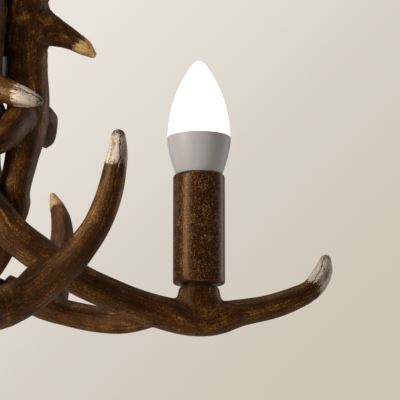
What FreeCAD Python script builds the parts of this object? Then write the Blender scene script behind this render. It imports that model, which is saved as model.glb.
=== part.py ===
"""Antler chandelier: three lamp antlers and three cross antlers round a steel tube, with three
candle lamps, hung on a short chain from a ceiling canopy.

Millimetres, +Z up. The origin lies in the ceiling plane on the chandelier's axis, and everything
hangs below it. The antler cluster is drawn with Z = 0 at the feet of the candle sleeves (the lamp
plane) and is then lowered by LAMP_DROP.
"""
import FreeCAD, Part
import math
import os
from FreeCAD import Placement, Rotation, Vector

# ---- driving dimensions: overall layout -------------------------------------------------------
LAMP_COUNT = 3            # the lamps and antlers repeat this often round the axis
LAMP_RADIUS = 118.0       # chandelier axis to candle axis
TIP_REACH = 73.8          # candle axis to the arm's outermost tip
TIP_RISE = 17.6           # arm tip above the lamp plane
BURR_HEIGHT = 192.0       # flat top of the burrs above the lamp plane
CROSSING_HEIGHT = 38.5    # beams pass each other beside the axis at this height

# ---- driving dimensions: antlers --------------------------------------------------------------
TRUNK_RADIUS = 13.2       # trunk below the burr
TRUNK_GAP = 1.8           # between neighbouring trunks
BEAM_RADIUS = 8.9         # beam where the three beams pass each other
BEAM_GAP = 0.5            # between neighbouring beams at their closest
ARM_RADIUS = 9.7          # arm under the lamp
ARM_DEPTH = 19.2          # arm centreline below the lamp plane, at the lamp
TINE_TIP_RADIUS = 1.6     # rounded tip of a worn tine
CROSS_RADIUS = 8.3        # cross antler at its fork
CROSS_TINE_HEIGHT = 70.0  # cross antler's tine tip above the lamp plane
FRONT_GIRTH = 1.3         # the front cross antler is this much stouter at its fork

# ---- driving dimensions: candle lamps ---------------------------------------------------------
SLEEVE_RADIUS = 15.0
SLEEVE_WALL = 1.8
SLEEVE_HEIGHT = 64.0
SLEEVE_FLOOR = 2.4
SLEEVE_EDGE = 1.5         # rounding of the sleeve's outer rims
SEAT_THICKNESS = 1.6      # washer between the boss and the sleeve
SEAT_RADIUS = 9.6
BOSS_TOP_RADIUS = 11.4
BOSS_FOOT_RADIUS = 13.2
NIPPLE_RADIUS = 5.0       # M10 x 1 lamp tube
NIPPLE_BORE = 3.5
NIPPLE_DEPTH = 11.0       # nipple sunk into the boss, below the boss's top
NUT_HEIGHT = 3.0
NUT_ACROSS = 14.0
HOLDER_RADIUS = 12.4
HOLDER_WALL = 2.0
HOLDER_SPLIT = 28.0       # joint of the holder's base and socket, above the lamp plane
HOLDER_TOP_GAP = 2.0      # holder's rim below the sleeve's rim
SHELL_WALL = 0.4
SHELL_LENGTH = 16.0
CAP_RADIUS = 6.94         # E14 screw cap over its thread
CAP_ROOT_RADIUS = 6.4
CAP_LENGTH = 17.2
CAP_PITCH = 2.82
CAP_WALL = 0.4
BULB_RADIUS = 18.5
BULB_LENGTH = 68.3        # above the sleeve
BULB_HOUSING_HEIGHT = 22.0
BULB_LIFT = 0.4           # bulb's underside above the sleeve's rim
BULB_WALL = 1.4
BOARD_THICKNESS = 1.6

# ---- driving dimensions: crown, tube and hub --------------------------------------------------
CROWN_RADIUS = 31.0
CROWN_EDGE = 2.4
CROWN_RISE = 6.0
TUBE_TOP_GRIP = 6.0       # tube screwed into the hanging eye
HUB_RADIUS = 8.6
HUB_HEIGHT = 14.0
HUB_DEPTH = 69.0          # middle of the hub block below the burrs' flat tops
HUB_SCREW_RADIUS = 2.5
TUBE_TAIL = 3.0           # tube below the hub block
CROWN_SCREW_RADIUS = 1.9
CROWN_SCREW_LENGTH = 20.0
CROSS_SCREW_RADIUS = 1.9
DOWEL_RADIUS = 2.5
DOWEL_GRIP = 5.0          # dowel in each of the two antlers that it joins
SPUR_GAP = 0.8            # cross antler's spur end to the beam it is dowelled to
LEAD_RADIUS = 1.2
LEAD_CHANNEL_RADIUS = 1.9

# ---- driving dimensions: chain and ceiling ----------------------------------------------------
EYE_WIRE_RADIUS = 2.5
EYE_RING_RADIUS = 11.0    # to the wire's centreline
EYE_COLLAR_RADIUS = 9.0
EYE_COLLAR_HEIGHT = 12.0
OUTLET_RADIUS = 2.4       # side hole of an eye, where the leads come out above the tube
LINK_COUNT = 4
LINK_WIRE_RADIUS = 2.0
LINK_WIDTH = 16.0         # between the centrelines of a link's two legs
LINK_LENGTH = 32.0        # between the centrelines of its two bends
CANOPY_RADIUS = 55.0
CANOPY_DEPTH = 26.0
CANOPY_WALL = 1.2
BRACKET_LENGTH = 90.0
BRACKET_WIDTH = 20.0
BRACKET_THICKNESS = 2.0
BRACKET_DROP = 4.0        # middle of the crossbar below the ceiling plane
SCREW_SPACING = 70.0      # between the two ceiling screws
SLOT_LENGTH = 12.0
SLOT_WIDTH = 5.0
TERMINAL_BLOCK = (24.0, 14.0, 9.0)

# ---- fits -------------------------------------------------------------------------------------
THREAD_CLEARANCE = 0.05   # screws, nipples and dowels in their holes
SEAT_CLEARANCE = 0.3      # pieces that lie against each other without touching
CHAIN_CLEARANCE = 0.3
SHELL_CLEARANCE = 0.2     # bulb cap in the threaded shell

# ---- derived places ---------------------------------------------------------------------------
TURN = 360.0 / LAMP_COUNT
# Pieces of radius r that stand round the axis clear each other at this offset.
RING_FACTOR = 1.0 / math.sin(math.pi / LAMP_COUNT)
TRUNK_OFFSET = (TRUNK_RADIUS + TRUNK_GAP / 2) * RING_FACTOR
BEAM_OFFSET = (BEAM_RADIUS + BEAM_GAP / 2) * RING_FACTOR
TRUNK_AZIMUTH = -TURN     # the trunk stands one step back from its own lamp

HUB_LEVEL = BURR_HEIGHT - HUB_DEPTH
CROWN_TOP = BURR_HEIGHT + CROWN_RISE
TUBE_TOP = CROWN_TOP + TUBE_TOP_GRIP
EYE_TOP = CROWN_TOP + EYE_COLLAR_HEIGHT
EYE_CENTRE = EYE_TOP + EYE_RING_RADIUS - EYE_WIRE_RADIUS / 2
EYE_PIVOT = EYE_CENTRE + EYE_RING_RADIUS

HOLDER_BOTTOM = SLEEVE_FLOOR + NUT_HEIGHT
HOLDER_TOP = SLEEVE_HEIGHT - HOLDER_TOP_GAP
SHELL_INNER = CAP_RADIUS + SHELL_CLEARANCE
SHELL_OUTER = SHELL_INNER + SHELL_WALL
SHELL_TOP = HOLDER_TOP - 1.0
SHELL_BOTTOM = SHELL_TOP - SHELL_LENGTH
BULB_BOTTOM = SLEEVE_HEIGHT + BULB_LIFT
BULB_RIM = BULB_BOTTOM + BULB_HOUSING_HEIGHT
BULB_TOP = BULB_BOTTOM + BULB_LENGTH
CAP_BOTTOM = BULB_BOTTOM - CAP_LENGTH
CONTACT_HEIGHT = 2.6      # insulated end of the cap with its contact
CONTACT_BOTTOM = CAP_BOTTOM - CONTACT_HEIGHT
CENTRE_CONTACT_TOP = CONTACT_BOTTOM - SEAT_CLEARANCE

EYE_CONTACT = EYE_WIRE_RADIUS + LINK_WIRE_RADIUS + CHAIN_CLEARANCE
LINK_CONTACT = 2 * LINK_WIRE_RADIUS + CHAIN_CLEARANCE
CANOPY_LOOP_CENTRE = -(CANOPY_DEPTH + EYE_COLLAR_HEIGHT + EYE_RING_RADIUS - EYE_WIRE_RADIUS / 2)
CANOPY_PIVOT = CANOPY_LOOP_CENTRE - EYE_RING_RADIUS
FIRST_LINK_TOP = CANOPY_PIVOT + EYE_CONTACT
LINK_PITCH = LINK_LENGTH - LINK_CONTACT
LAST_LINK_BOTTOM = FIRST_LINK_TOP - (LINK_COUNT - 1) * LINK_PITCH - LINK_LENGTH
LAMP_DROP = EYE_PIVOT - EYE_CONTACT - LAST_LINK_BOTTOM

SECTION_STEP = 6.0        # between the sections of an antler branch
UP = Vector(0, 0, 1)
DOWN = Vector(0, 0, -1)


# ---- helpers ----------------------------------------------------------------------------------
def cylinder(radius, low, high, x=0.0, y=0.0):
    """Upright cylinder from height low to height high."""
    return Part.makeCylinder(radius, high - low, Vector(x, y, low), UP)


def tube(outer, inner, low, high, x=0.0, y=0.0):
    """Upright tube, its bore run past both ends."""
    return cylinder(outer, low, high, x, y).cut(cylinder(inner, low - 1, high + 1, x, y))


def rod(start, end, radius):
    """Cylinder between two points."""
    return Part.makeCylinder(radius, (end - start).Length, start, end - start)


def revolved(profile, x=0.0, y=0.0):
    """Solid of revolution about a vertical axis from (radius, height) corners."""
    points = [Vector(x + radius, y, height) for radius, height in profile]
    face = Part.Face(Part.makePolygon(points + points[:1]))
    return face.revolve(Vector(x, y, 0), UP, 360)


def smooth_profile(points):
    """Interpolated edge through (radius, height) points in the XZ plane."""
    curve = Part.BSplineCurve()
    curve.interpolate([Vector(radius, 0, height) for radius, height in points])
    return curve.toShape()


def half_section(points):
    """Wire round the half section between a smooth (radius, height) profile and the axis."""
    low = points[0][1]
    high_radius, high = points[-1]
    edges = [smooth_profile(points)]
    if high_radius > 0:
        edges.append(Part.makeLine(Vector(high_radius, 0, high), Vector(0, 0, high)))
    edges.append(Part.makeLine(Vector(0, 0, high), Vector(0, 0, low)))
    edges.append(Part.makeLine(Vector(0, 0, low), Vector(points[0][0], 0, low)))
    return Part.Wire(edges)


def around(shape, index):
    """The shape turned to its place as lamp, antler or lead number index."""
    turned = shape.copy()
    turned.rotate(Vector(0, 0, 0), UP, TURN * index)
    return turned


def lowered(shape):
    """The shape moved from the lamp plane's frame to the ceiling's."""
    moved = shape.copy()
    moved.translate(Vector(0, 0, -LAMP_DROP))
    return moved


def export(name, shape):
    """One file per named sub-part."""
    shape.exportStep(os.path.join("parts", name + ".step"))
    print(name, "solids", len(shape.Solids), "valid", shape.isValid(), "volume", round(shape.Volume))


# ---- antlers ----------------------------------------------------------------------------------
def beside_trunk(out, side, height, *radius):
    """A place by the trunk, out from the axis and side from its azimuth; with a radius, a station."""
    turn = math.radians(TRUNK_AZIMUTH)
    x = out * math.cos(turn) - side * math.sin(turn)
    y = out * math.sin(turn) + side * math.cos(turn)
    return (x, y, height) + radius


def smooth_run(stations):
    """Even steps of (centre, radius) along the smooth run through (x, y, z, radius) stations."""
    places = [Vector(*station[:3]) for station in stations]
    marks = [0.0]
    for before, after in zip(places, places[1:]):
        marks.append(marks[-1] + (after - before).Length)
    last = len(stations) - 1
    steps = max(4, math.ceil(marks[-1] / SECTION_STEP))
    run = []
    for step in range(steps + 1):
        mark = marks[-1] * step / steps
        span = max(index for index in range(last) if marks[index] <= mark + 1e-9)
        share = (mark - marks[span]) / (marks[span + 1] - marks[span])
        values = []
        for axis in range(4):
            slopes = []
            for index in (span, span + 1):
                low = max(index - 1, 0)
                high = min(index + 1, last)
                rise = stations[high][axis] - stations[low][axis]
                slopes.append(rise / (marks[high] - marks[low]) * (marks[span + 1] - marks[span]))
            start = stations[span][axis]
            end = stations[span + 1][axis]
            values.append(start + share * slopes[0]
                          + share ** 2 * (3 * (end - start) - 2 * slopes[0] - slopes[1])
                          + share ** 3 * (slopes[0] + slopes[1] - 2 * (end - start)))
        run.append((Vector(*values[:3]), values[3]))
    return run


def branch(stations, vertical_start=False, rounded_tip=False):
    """One antler branch: a loft through round sections, its last end rounded where it is a tip."""
    run = smooth_run(stations)
    sections = []
    reference = Vector(0, 1, 0)
    for index, (centre, radius) in enumerate(run):
        before = run[max(index - 1, 0)][0]
        after = run[min(index + 1, len(run) - 1)][0]
        along = (after - before).normalize()
        if index == 0 and vertical_start:
            along = DOWN
        reference = (reference - along * reference.dot(along)).normalize()
        section = Part.makeCircle(radius)
        section.Placement = Placement(centre, Rotation(reference, along.cross(reference), along, "ZXY"))
        sections.append(Part.Wire([section]))
    body = Part.makeLoft(sections, True, False)
    if rounded_tip:
        centre, radius = run[-1]
        half_ball = Part.makeSphere(radius, centre, along, 0, 90, 360)
        body = body.fuse(half_ball)
    return body


def arm_place(share):
    """Distance from the axis along the arm: 0 at the crossing, 1 at the lamp."""
    return BEAM_OFFSET * 0.85 + share * (LAMP_RADIUS - BEAM_OFFSET * 0.85)


def main_beam():
    """Burr, trunk, beam past the axis, arm under the lamp and the worn end tine."""
    trunk = [
        beside_trunk(TRUNK_OFFSET, 0, BURR_HEIGHT, TRUNK_RADIUS),
        beside_trunk(TRUNK_OFFSET, 0, BURR_HEIGHT - 5, TRUNK_RADIUS * 1.03),
        beside_trunk(TRUNK_OFFSET, 0, BURR_HEIGHT - 12, TRUNK_RADIUS * 0.97),
        beside_trunk(TRUNK_OFFSET, 0, BURR_HEIGHT - 31, TRUNK_RADIUS),
        beside_trunk(TRUNK_OFFSET * 1.02, 0, BURR_HEIGHT - 47, TRUNK_RADIUS * 0.97),
        beside_trunk(TRUNK_OFFSET * 1.08, 0, BURR_HEIGHT - 68, TRUNK_RADIUS * 0.88),
        beside_trunk(TRUNK_OFFSET * 1.13, 0, BURR_HEIGHT - 86, TRUNK_RADIUS * 0.93),
        beside_trunk(TRUNK_OFFSET * 1.11, -1.0, BURR_HEIGHT - 101, TRUNK_RADIUS * 0.87),
    ]
    beam = [
        beside_trunk(BEAM_OFFSET * 1.42, -1.5, CROSSING_HEIGHT + 32.5, BEAM_RADIUS * 1.05),
        beside_trunk(BEAM_OFFSET * 1.06, -2.8, CROSSING_HEIGHT + 13.0, BEAM_RADIUS),
        (-BEAM_OFFSET * 0.36, -BEAM_OFFSET * 1.10, CROSSING_HEIGHT + 6.5, BEAM_RADIUS * 0.98),
        (BEAM_OFFSET * 0.12, -BEAM_OFFSET * 1.08, CROSSING_HEIGHT, BEAM_RADIUS * 1.01),
        (BEAM_OFFSET * 0.88, -BEAM_OFFSET * 1.10, CROSSING_HEIGHT - 11.0, BEAM_RADIUS * 1.08),
    ]
    arm = [
        (arm_place(0.096), -BEAM_OFFSET * 1.07, CROSSING_HEIGHT - 19.5, ARM_RADIUS * 1.02),
        (arm_place(0.232), -BEAM_OFFSET * 1.05, CROSSING_HEIGHT - 29.7, ARM_RADIUS * 0.99),
        (arm_place(0.395), -9.0, -ARM_DEPTH + 18.0, ARM_RADIUS * 0.93),
        (arm_place(0.606), -6.0, -ARM_DEPTH + 8.6, ARM_RADIUS * 0.92),
        (LAMP_RADIUS - 22, -2.0, -ARM_DEPTH + 2.4, ARM_RADIUS * 0.95),
        (LAMP_RADIUS - 6, 0, -ARM_DEPTH, ARM_RADIUS * 1.06),
        (LAMP_RADIUS + 4, 0, -ARM_DEPTH - 0.3, ARM_RADIUS * 1.08),
        (LAMP_RADIUS + 13, 0, -ARM_DEPTH + 0.4, ARM_RADIUS * 0.95),
        (LAMP_RADIUS + 24, 0, -ARM_DEPTH + 3.1, ARM_RADIUS * 0.78),
        (LAMP_RADIUS + TIP_REACH * 0.57, 0, -ARM_DEPTH + 7.2, ARM_RADIUS * 0.72),
        (LAMP_RADIUS + TIP_REACH * 0.77, 0, -ARM_DEPTH + 12.6, ARM_RADIUS * 0.66),
        (LAMP_RADIUS + TIP_REACH * 0.895, 0, TIP_RISE - 18.8, ARM_RADIUS * 0.59),
        (LAMP_RADIUS + TIP_REACH * 0.97, 0, TIP_RISE - 10.6, ARM_RADIUS * 0.50),
        (LAMP_RADIUS + TIP_REACH, 0, TIP_RISE - 4.2, ARM_RADIUS * 0.36),
        (LAMP_RADIUS + TIP_REACH * 1.002, 0, TIP_RISE - 1.4, TINE_TIP_RADIUS * 1.4),
    ]
    return branch(trunk + beam + arm, vertical_start=True, rounded_tip=True)


def brow_tine():
    """Short tine that leaves the trunk outwards below the burr."""
    stations = [
        beside_trunk(TRUNK_OFFSET, 0, BURR_HEIGHT - 35.5, TRUNK_RADIUS * 0.82),
        beside_trunk(TRUNK_OFFSET + 9.0, 0, BURR_HEIGHT - 40.8, TRUNK_RADIUS * 0.78),
        beside_trunk(TRUNK_OFFSET + 17.0, 0, BURR_HEIGHT - 44.5, TRUNK_RADIUS * 0.64),
        beside_trunk(TRUNK_OFFSET + 25.0, 0, BURR_HEIGHT - 47.8, TRUNK_RADIUS * 0.48),
        beside_trunk(TRUNK_OFFSET + 33.0, 0, BURR_HEIGHT - 52.3, TRUNK_RADIUS * 0.36),
        beside_trunk(TRUNK_OFFSET + 36.4, 0, BURR_HEIGHT - 54.6, TRUNK_RADIUS * 0.29),
        beside_trunk(TRUNK_OFFSET + 39.0, 0, BURR_HEIGHT - 57.0, TINE_TIP_RADIUS * 1.3),
    ]
    return branch(stations, rounded_tip=True)


def guard_tine(shift, drop):
    """Tine that curls round the outside of the next trunk."""
    stations = [
        beside_trunk(TRUNK_OFFSET * 0.90, 8.0, BURR_HEIGHT - 85.0 - drop, TRUNK_RADIUS * 0.64),
        beside_trunk(TRUNK_OFFSET + 8.3 + shift, 17.4, BURR_HEIGHT - 86.8 - drop, TRUNK_RADIUS * 0.55),
        beside_trunk(TRUNK_OFFSET + 9.8 + shift, 24.8, BURR_HEIGHT - 90.6 - drop, TRUNK_RADIUS * 0.49),
        beside_trunk(TRUNK_OFFSET + 10.5 + shift, 31.5, BURR_HEIGHT - 93.3 - drop, TRUNK_RADIUS * 0.41),
        beside_trunk(TRUNK_OFFSET + 10.6 + shift, 37.8, BURR_HEIGHT - 95.6 - drop, TRUNK_RADIUS * 0.32),
        beside_trunk(TRUNK_OFFSET + 10.3 + shift, 42.4, BURR_HEIGHT - 97.1 - drop, TINE_TIP_RADIUS * 1.5),
    ]
    return branch(stations, rounded_tip=True)


def spur(station_count):
    """Stub that leans across towards the trunk before, cut off blunt after station_count places."""
    stations = [
        beside_trunk(TRUNK_OFFSET * 0.97, -3.0, BURR_HEIGHT - 93.5, TRUNK_RADIUS * 0.70),
        beside_trunk(TRUNK_OFFSET * 0.77, -14.0, BURR_HEIGHT - 101.0, TRUNK_RADIUS * 0.65),
        beside_trunk(TRUNK_OFFSET * 0.53, -24.5, BURR_HEIGHT - 109.5, TRUNK_RADIUS * 0.61),
        beside_trunk(TRUNK_OFFSET * 0.16, -31.0, BURR_HEIGHT - 116.0, TRUNK_RADIUS * 0.60),
        beside_trunk(-TRUNK_OFFSET * 0.20, -35.0, BURR_HEIGHT - 121.0, TRUNK_RADIUS * 0.52),
    ]
    return branch(stations[:station_count], rounded_tip=True)


def lamp_boss():
    """Turned foot on the arm that the candle sleeve stands on."""
    top = -SEAT_THICKNESS
    foot = -ARM_DEPTH + ARM_RADIUS * 0.35
    edge = 0.6
    profile = [
        (0, foot),
        (BOSS_FOOT_RADIUS, foot),
        (BOSS_FOOT_RADIUS * 0.97, (foot + top) / 2),
        (BOSS_TOP_RADIUS, top - edge),
        (BOSS_TOP_RADIUS - edge, top),
        (0, top),
    ]
    return revolved(profile, x=LAMP_RADIUS)


def whole_lamp_antler(guard_shift, guard_drop, spur_stations):
    """A lamp antler before it is drilled."""
    body = main_beam()
    for piece in (brow_tine(), guard_tine(guard_shift, guard_drop), spur(spur_stations), lamp_boss()):
        body = body.fuse(piece)
    return body


# The middle antler of the three has a longer spur and a lower guard tine than its neighbours.
LAMP_ANTLER_FORMS = (
    dict(guard_shift=0.0, guard_drop=0.0, spur_stations=3),
    dict(guard_shift=3.5, guard_drop=5.0, spur_stations=5),
    dict(guard_shift=0.0, guard_drop=0.0, spur_stations=3),
)


def along_radius(share_x, share_y, height, radius):
    """A cross antler's station, its place in shares of the lamp radius."""
    return (LAMP_RADIUS * share_x, LAMP_RADIUS * share_y, height, radius)


# Where a cross antler's base meets the back of its lamp antler's arm, and where its spur ends
# against the next lamp antler's beam.
CROSS_BASE = Vector(LAMP_RADIUS - 22.0, ARM_RADIUS * 0.94 + 2.9, -ARM_DEPTH + 1.8)
CROSS_SPUR_END = Vector(LAMP_RADIUS * 0.0644, LAMP_RADIUS * 0.3195, CROSSING_HEIGHT - 34.9)
CROSS_SPUR_AIM = Vector(-LAMP_RADIUS * 0.0627, LAMP_RADIUS * 0.295, CROSSING_HEIGHT - 29.7)


def rear_cross_antler():
    """Cross antler whose beam runs inwards under the arm and whose tine rises behind it."""
    fork = along_radius(0.322, 0.262, -ARM_DEPTH + 7.0, CROSS_RADIUS * 0.94)
    beam = [
        (CROSS_BASE.x, CROSS_BASE.y, CROSS_BASE.z, CROSS_RADIUS * 0.56),
        (LAMP_RADIUS - 33, 16.0, -ARM_DEPTH + 0.7, CROSS_RADIUS * 0.80),
        along_radius(0.631, 0.170, -ARM_DEPTH - 0.3, CROSS_RADIUS * 0.85),
        along_radius(0.542, 0.212, -ARM_DEPTH + 1.0, CROSS_RADIUS * 0.89),
        along_radius(0.430, 0.246, -ARM_DEPTH + 3.9, CROSS_RADIUS * 0.91),
        fork,
    ]
    tine = [
        along_radius(0.322, 0.254, -ARM_DEPTH + 5.0, CROSS_RADIUS * 0.90),
        along_radius(0.314, 0.356, -ARM_DEPTH + 18.2, CROSS_RADIUS * 0.92),
        along_radius(0.330, 0.492, CROSS_TINE_HEIGHT - 53.0, CROSS_RADIUS * 0.92),
        along_radius(0.356, 0.627, CROSS_TINE_HEIGHT - 34.0, CROSS_RADIUS * 0.86),
        along_radius(0.352, 0.720, CROSS_TINE_HEIGHT - 19.0, CROSS_RADIUS * 0.73),
        along_radius(0.330, 0.784, CROSS_TINE_HEIGHT - 8.5, CROSS_RADIUS * 0.47),
        along_radius(0.309, 0.816, CROSS_TINE_HEIGHT - 1.2, TINE_TIP_RADIUS),
    ]
    inner = [
        fork,
        along_radius(0.240, 0.281, -ARM_DEPTH + 10.2, CROSS_RADIUS * 0.92),
        along_radius(0.150, 0.301, CROSSING_HEIGHT - 40.7, CROSS_RADIUS * 0.84),
        (CROSS_SPUR_END.x, CROSS_SPUR_END.y, CROSS_SPUR_END.z, CROSS_RADIUS * 0.76),
    ]
    return branch(beam).fuse(branch(tine, rounded_tip=True)).fuse(branch(inner))


def front_cross_antler():
    """Stouter cross antler that lies lower, its fork swept into a long tall tine."""
    girth = CROSS_RADIUS * FRONT_GIRTH
    fork = along_radius(0.322, 0.234, -ARM_DEPTH - 2.4, girth * 1.06)
    beam = [
        (CROSS_BASE.x, CROSS_BASE.y, CROSS_BASE.z, CROSS_RADIUS * 0.56),
        (LAMP_RADIUS - 33, 17.0, -ARM_DEPTH - 3.0, girth * 0.65),
        along_radius(0.593, 0.186, -ARM_DEPTH - 6.3, girth * 0.80),
        along_radius(0.449, 0.209, -ARM_DEPTH - 5.6, girth * 0.95),
        fork,
    ]
    tine = [
        fork,
        along_radius(0.303, 0.340, -ARM_DEPTH + 3.2, girth * 1.01),
        along_radius(0.306, 0.434, CROSS_TINE_HEIGHT - 79.8, girth * 0.91),
        along_radius(0.304, 0.526, CROSS_TINE_HEIGHT - 72.3, girth * 0.84),
        along_radius(0.302, 0.592, CROSS_TINE_HEIGHT - 66.2, girth * 0.78),
        along_radius(0.298, 0.651, CROSS_TINE_HEIGHT - 58.5, girth * 0.71),
        along_radius(0.291, 0.700, CROSS_TINE_HEIGHT - 50.3, girth * 0.67),
        along_radius(0.283, 0.740, CROSS_TINE_HEIGHT - 39.9, girth * 0.65),
        along_radius(0.279, 0.772, CROSS_TINE_HEIGHT - 27.6, girth * 0.61),
        along_radius(0.281, 0.792, CROSS_TINE_HEIGHT - 16.8, girth * 0.54),
        along_radius(0.284, 0.806, CROSS_TINE_HEIGHT - 8.8, girth * 0.45),
        along_radius(0.294, 0.812, CROSS_TINE_HEIGHT - 1.8, girth * 0.33),
    ]
    inner = [
        along_radius(0.300, 0.300, -ARM_DEPTH + 4.0, girth * 0.78),
        along_radius(0.220, 0.305, -ARM_DEPTH + 9.0, girth * 0.72),
        along_radius(0.140, 0.310, CROSSING_HEIGHT - 41.0, CROSS_RADIUS * 0.84),
        (CROSS_SPUR_END.x, CROSS_SPUR_END.y, CROSS_SPUR_END.z, CROSS_RADIUS * 0.76),
    ]
    return branch(beam).fuse(branch(tine, rounded_tip=True)).fuse(branch(inner))


# ---- lamp leads -------------------------------------------------------------------------------
def lead_route():
    """Corners of one lamp lead: up the candle, through the arm and trunk, then up the tube."""
    side = NIPPLE_BORE - LEAD_RADIUS - SEAT_CLEARANCE
    corners = [
        (LAMP_RADIUS, 0, HOLDER_SPLIT - 6.0),
        (LAMP_RADIUS, 0, -ARM_DEPTH + 1.2),
        (LAMP_RADIUS - 22, -2.0, -ARM_DEPTH + 2.6),
        (arm_place(0.606), -6.0, -ARM_DEPTH + 8.6),
        (arm_place(0.395), -9.0, -ARM_DEPTH + 18.0),
        (arm_place(0.232), -BEAM_OFFSET * 1.05, CROSSING_HEIGHT - 29.7),
        (BEAM_OFFSET * 0.88, -BEAM_OFFSET * 1.10, CROSSING_HEIGHT - 11.0),
        (-BEAM_OFFSET * 0.30, -BEAM_OFFSET * 1.10, CROSSING_HEIGHT + 5.5),
        beside_trunk(BEAM_OFFSET * 1.16, -2.4, CROSSING_HEIGHT + 17.0),
        beside_trunk(TRUNK_OFFSET * 1.08, -1.0, HUB_LEVEL - 36.0),
        beside_trunk(side, 0, HUB_LEVEL - HUB_HEIGHT / 2 - TUBE_TAIL - 13.0),
        beside_trunk(side, 0, TUBE_TOP - 2.0),
    ]
    return [Vector(*corner) for corner in corners]


def rounded_path(corners):
    """Straight runs joined by tangent arcs, each arc as large as its two runs allow."""
    edges = []
    start = corners[0]
    for before, corner, after in zip(corners, corners[1:], corners[2:]):
        back = (before - corner).normalize()
        ahead = (after - corner).normalize()
        reach = 0.49 * min((before - corner).Length, (after - corner).Length)
        arc_start = corner + back * reach
        arc_end = corner + ahead * reach
        half = back.getAngle(ahead) / 2
        radius = reach * math.tan(half)
        centre = corner + (back + ahead).normalize() * (reach / math.cos(half))
        middle = centre + (corner - centre).normalize() * radius
        edges.append(Part.makeLine(start, arc_start))
        edges.append(Part.Arc(arc_start, middle, arc_end).toShape())
        start = arc_end
    edges.append(Part.makeLine(start, corners[-1]))
    return Part.Wire(edges)


def along_route(corners, radius):
    """Round bar of one radius along the rounded route."""
    path = rounded_path(corners)
    first = (corners[1] - corners[0]).normalize()
    section = Part.Wire([Part.makeCircle(radius, corners[0], first)])
    bar = path.makePipeShell([section], True, False)
    expected = math.pi * radius ** 2 * path.Length
    print("route bar volume against section times length", round(bar.Volume / expected, 4))
    return bar


# ---- fasteners that join the antlers ----------------------------------------------------------
HUB_SCREW_SEAT = TRUNK_OFFSET * 1.08 + TRUNK_RADIUS * 0.88 - 8.0
HUB_HEAD_RADIUS = HUB_SCREW_RADIUS * 1.8
HUB_HEAD_HEIGHT = 3.5
CROSS_SCREW_PLACE = Vector(LAMP_RADIUS - 25.5, 0, -ARM_DEPTH - 2.0)
CROSS_SCREW_SEAT = -7.5
CROSS_HEAD_RADIUS = CROSS_SCREW_RADIUS * 1.85
CROSS_HEAD_HEIGHT = 2.6
CROSS_SCREW_END = 18.0
PLUG_GAP = 0.2


def radial(index, near, far, radius, height):
    """Bar on the azimuth of trunk number index, between two distances from the axis."""
    turn = math.radians(TURN * index + TRUNK_AZIMUTH)
    direction = Vector(math.cos(turn), math.sin(turn), 0)
    foot = Vector(0, 0, height)
    return rod(foot + direction * near, foot + direction * far, radius)


def hub_screw(index, extra=0.0):
    """Screw from outside a trunk into the hub block; extra widens it into its hole."""
    shank = radial(index, NIPPLE_RADIUS + 0.8, HUB_SCREW_SEAT, HUB_SCREW_RADIUS + extra, HUB_LEVEL)
    head_end = HUB_SCREW_SEAT + HUB_HEAD_HEIGHT
    head = radial(index, HUB_SCREW_SEAT, head_end, HUB_HEAD_RADIUS + extra, HUB_LEVEL)
    return shank.fuse(head)


def cross_screw(extra=0.0):
    """Screw from the front of an arm, below its lead, into the base of its cross antler."""
    x, y, z = CROSS_SCREW_PLACE
    seat = Vector(x, CROSS_SCREW_SEAT, z)
    shank = rod(seat, Vector(x, CROSS_SCREW_END + extra, z), CROSS_SCREW_RADIUS + extra)
    head_end = Vector(x, CROSS_SCREW_SEAT + CROSS_HEAD_HEIGHT, z)
    head = rod(seat, head_end, CROSS_HEAD_RADIUS + extra)
    return shank.fuse(head)


def cross_screw_well():
    """Counterbore in front of the cross screw's head."""
    x, y, z = CROSS_SCREW_PLACE
    outside = Vector(x, -ARM_RADIUS * 2, z)
    return rod(outside, Vector(x, CROSS_SCREW_SEAT + 0.01, z), CROSS_HEAD_RADIUS + THREAD_CLEARANCE)


def dowel(extra=0.0):
    """Dowel between a cross antler's spur and the next lamp antler's beam."""
    along = (CROSS_SPUR_AIM - CROSS_SPUR_END).normalize()
    grip = DOWEL_GRIP + extra
    far = CROSS_SPUR_END + along * (SPUR_GAP + grip)
    return rod(CROSS_SPUR_END - along * grip, far, DOWEL_RADIUS + extra)


# ---- candle lamps -----------------------------------------------------------------------------
def candle_sleeve():
    """Speckled candle tube with a floor that the lampholder's nut clamps."""
    body = cylinder(SLEEVE_RADIUS, 0, SLEEVE_HEIGHT)
    rims = [edge for edge in body.Edges if isinstance(edge.Curve, Part.Circle)]
    body = body.makeFillet(min(SLEEVE_EDGE, SLEEVE_WALL * 0.85), rims)
    body = body.cut(cylinder(SLEEVE_RADIUS - SLEEVE_WALL, SLEEVE_FLOOR, SLEEVE_HEIGHT + 1))
    return body.cut(cylinder(NIPPLE_RADIUS + SEAT_CLEARANCE, -1, SLEEVE_FLOOR + 1))


def nipple():
    """Threaded lamp tube from the boss up into the lampholder."""
    return tube(NIPPLE_RADIUS, NIPPLE_BORE, -SEAT_THICKNESS - NIPPLE_DEPTH, HOLDER_BOTTOM + 6.0)


def holder_nut():
    """Thin hexagon nut that clamps the sleeve's floor."""
    corners = []
    for index in range(7):
        turn = math.radians(60 * index)
        reach = NUT_ACROSS / 2 / math.cos(math.radians(30))
        corners.append(Vector(reach * math.cos(turn), reach * math.sin(turn), SLEEVE_FLOOR))
    body = Part.Face(Part.makePolygon(corners)).extrude(Vector(0, 0, NUT_HEIGHT))
    return body.cut(cylinder(NIPPLE_RADIUS + THREAD_CLEARANCE, 0, HOLDER_BOTTOM + 1))


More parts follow.
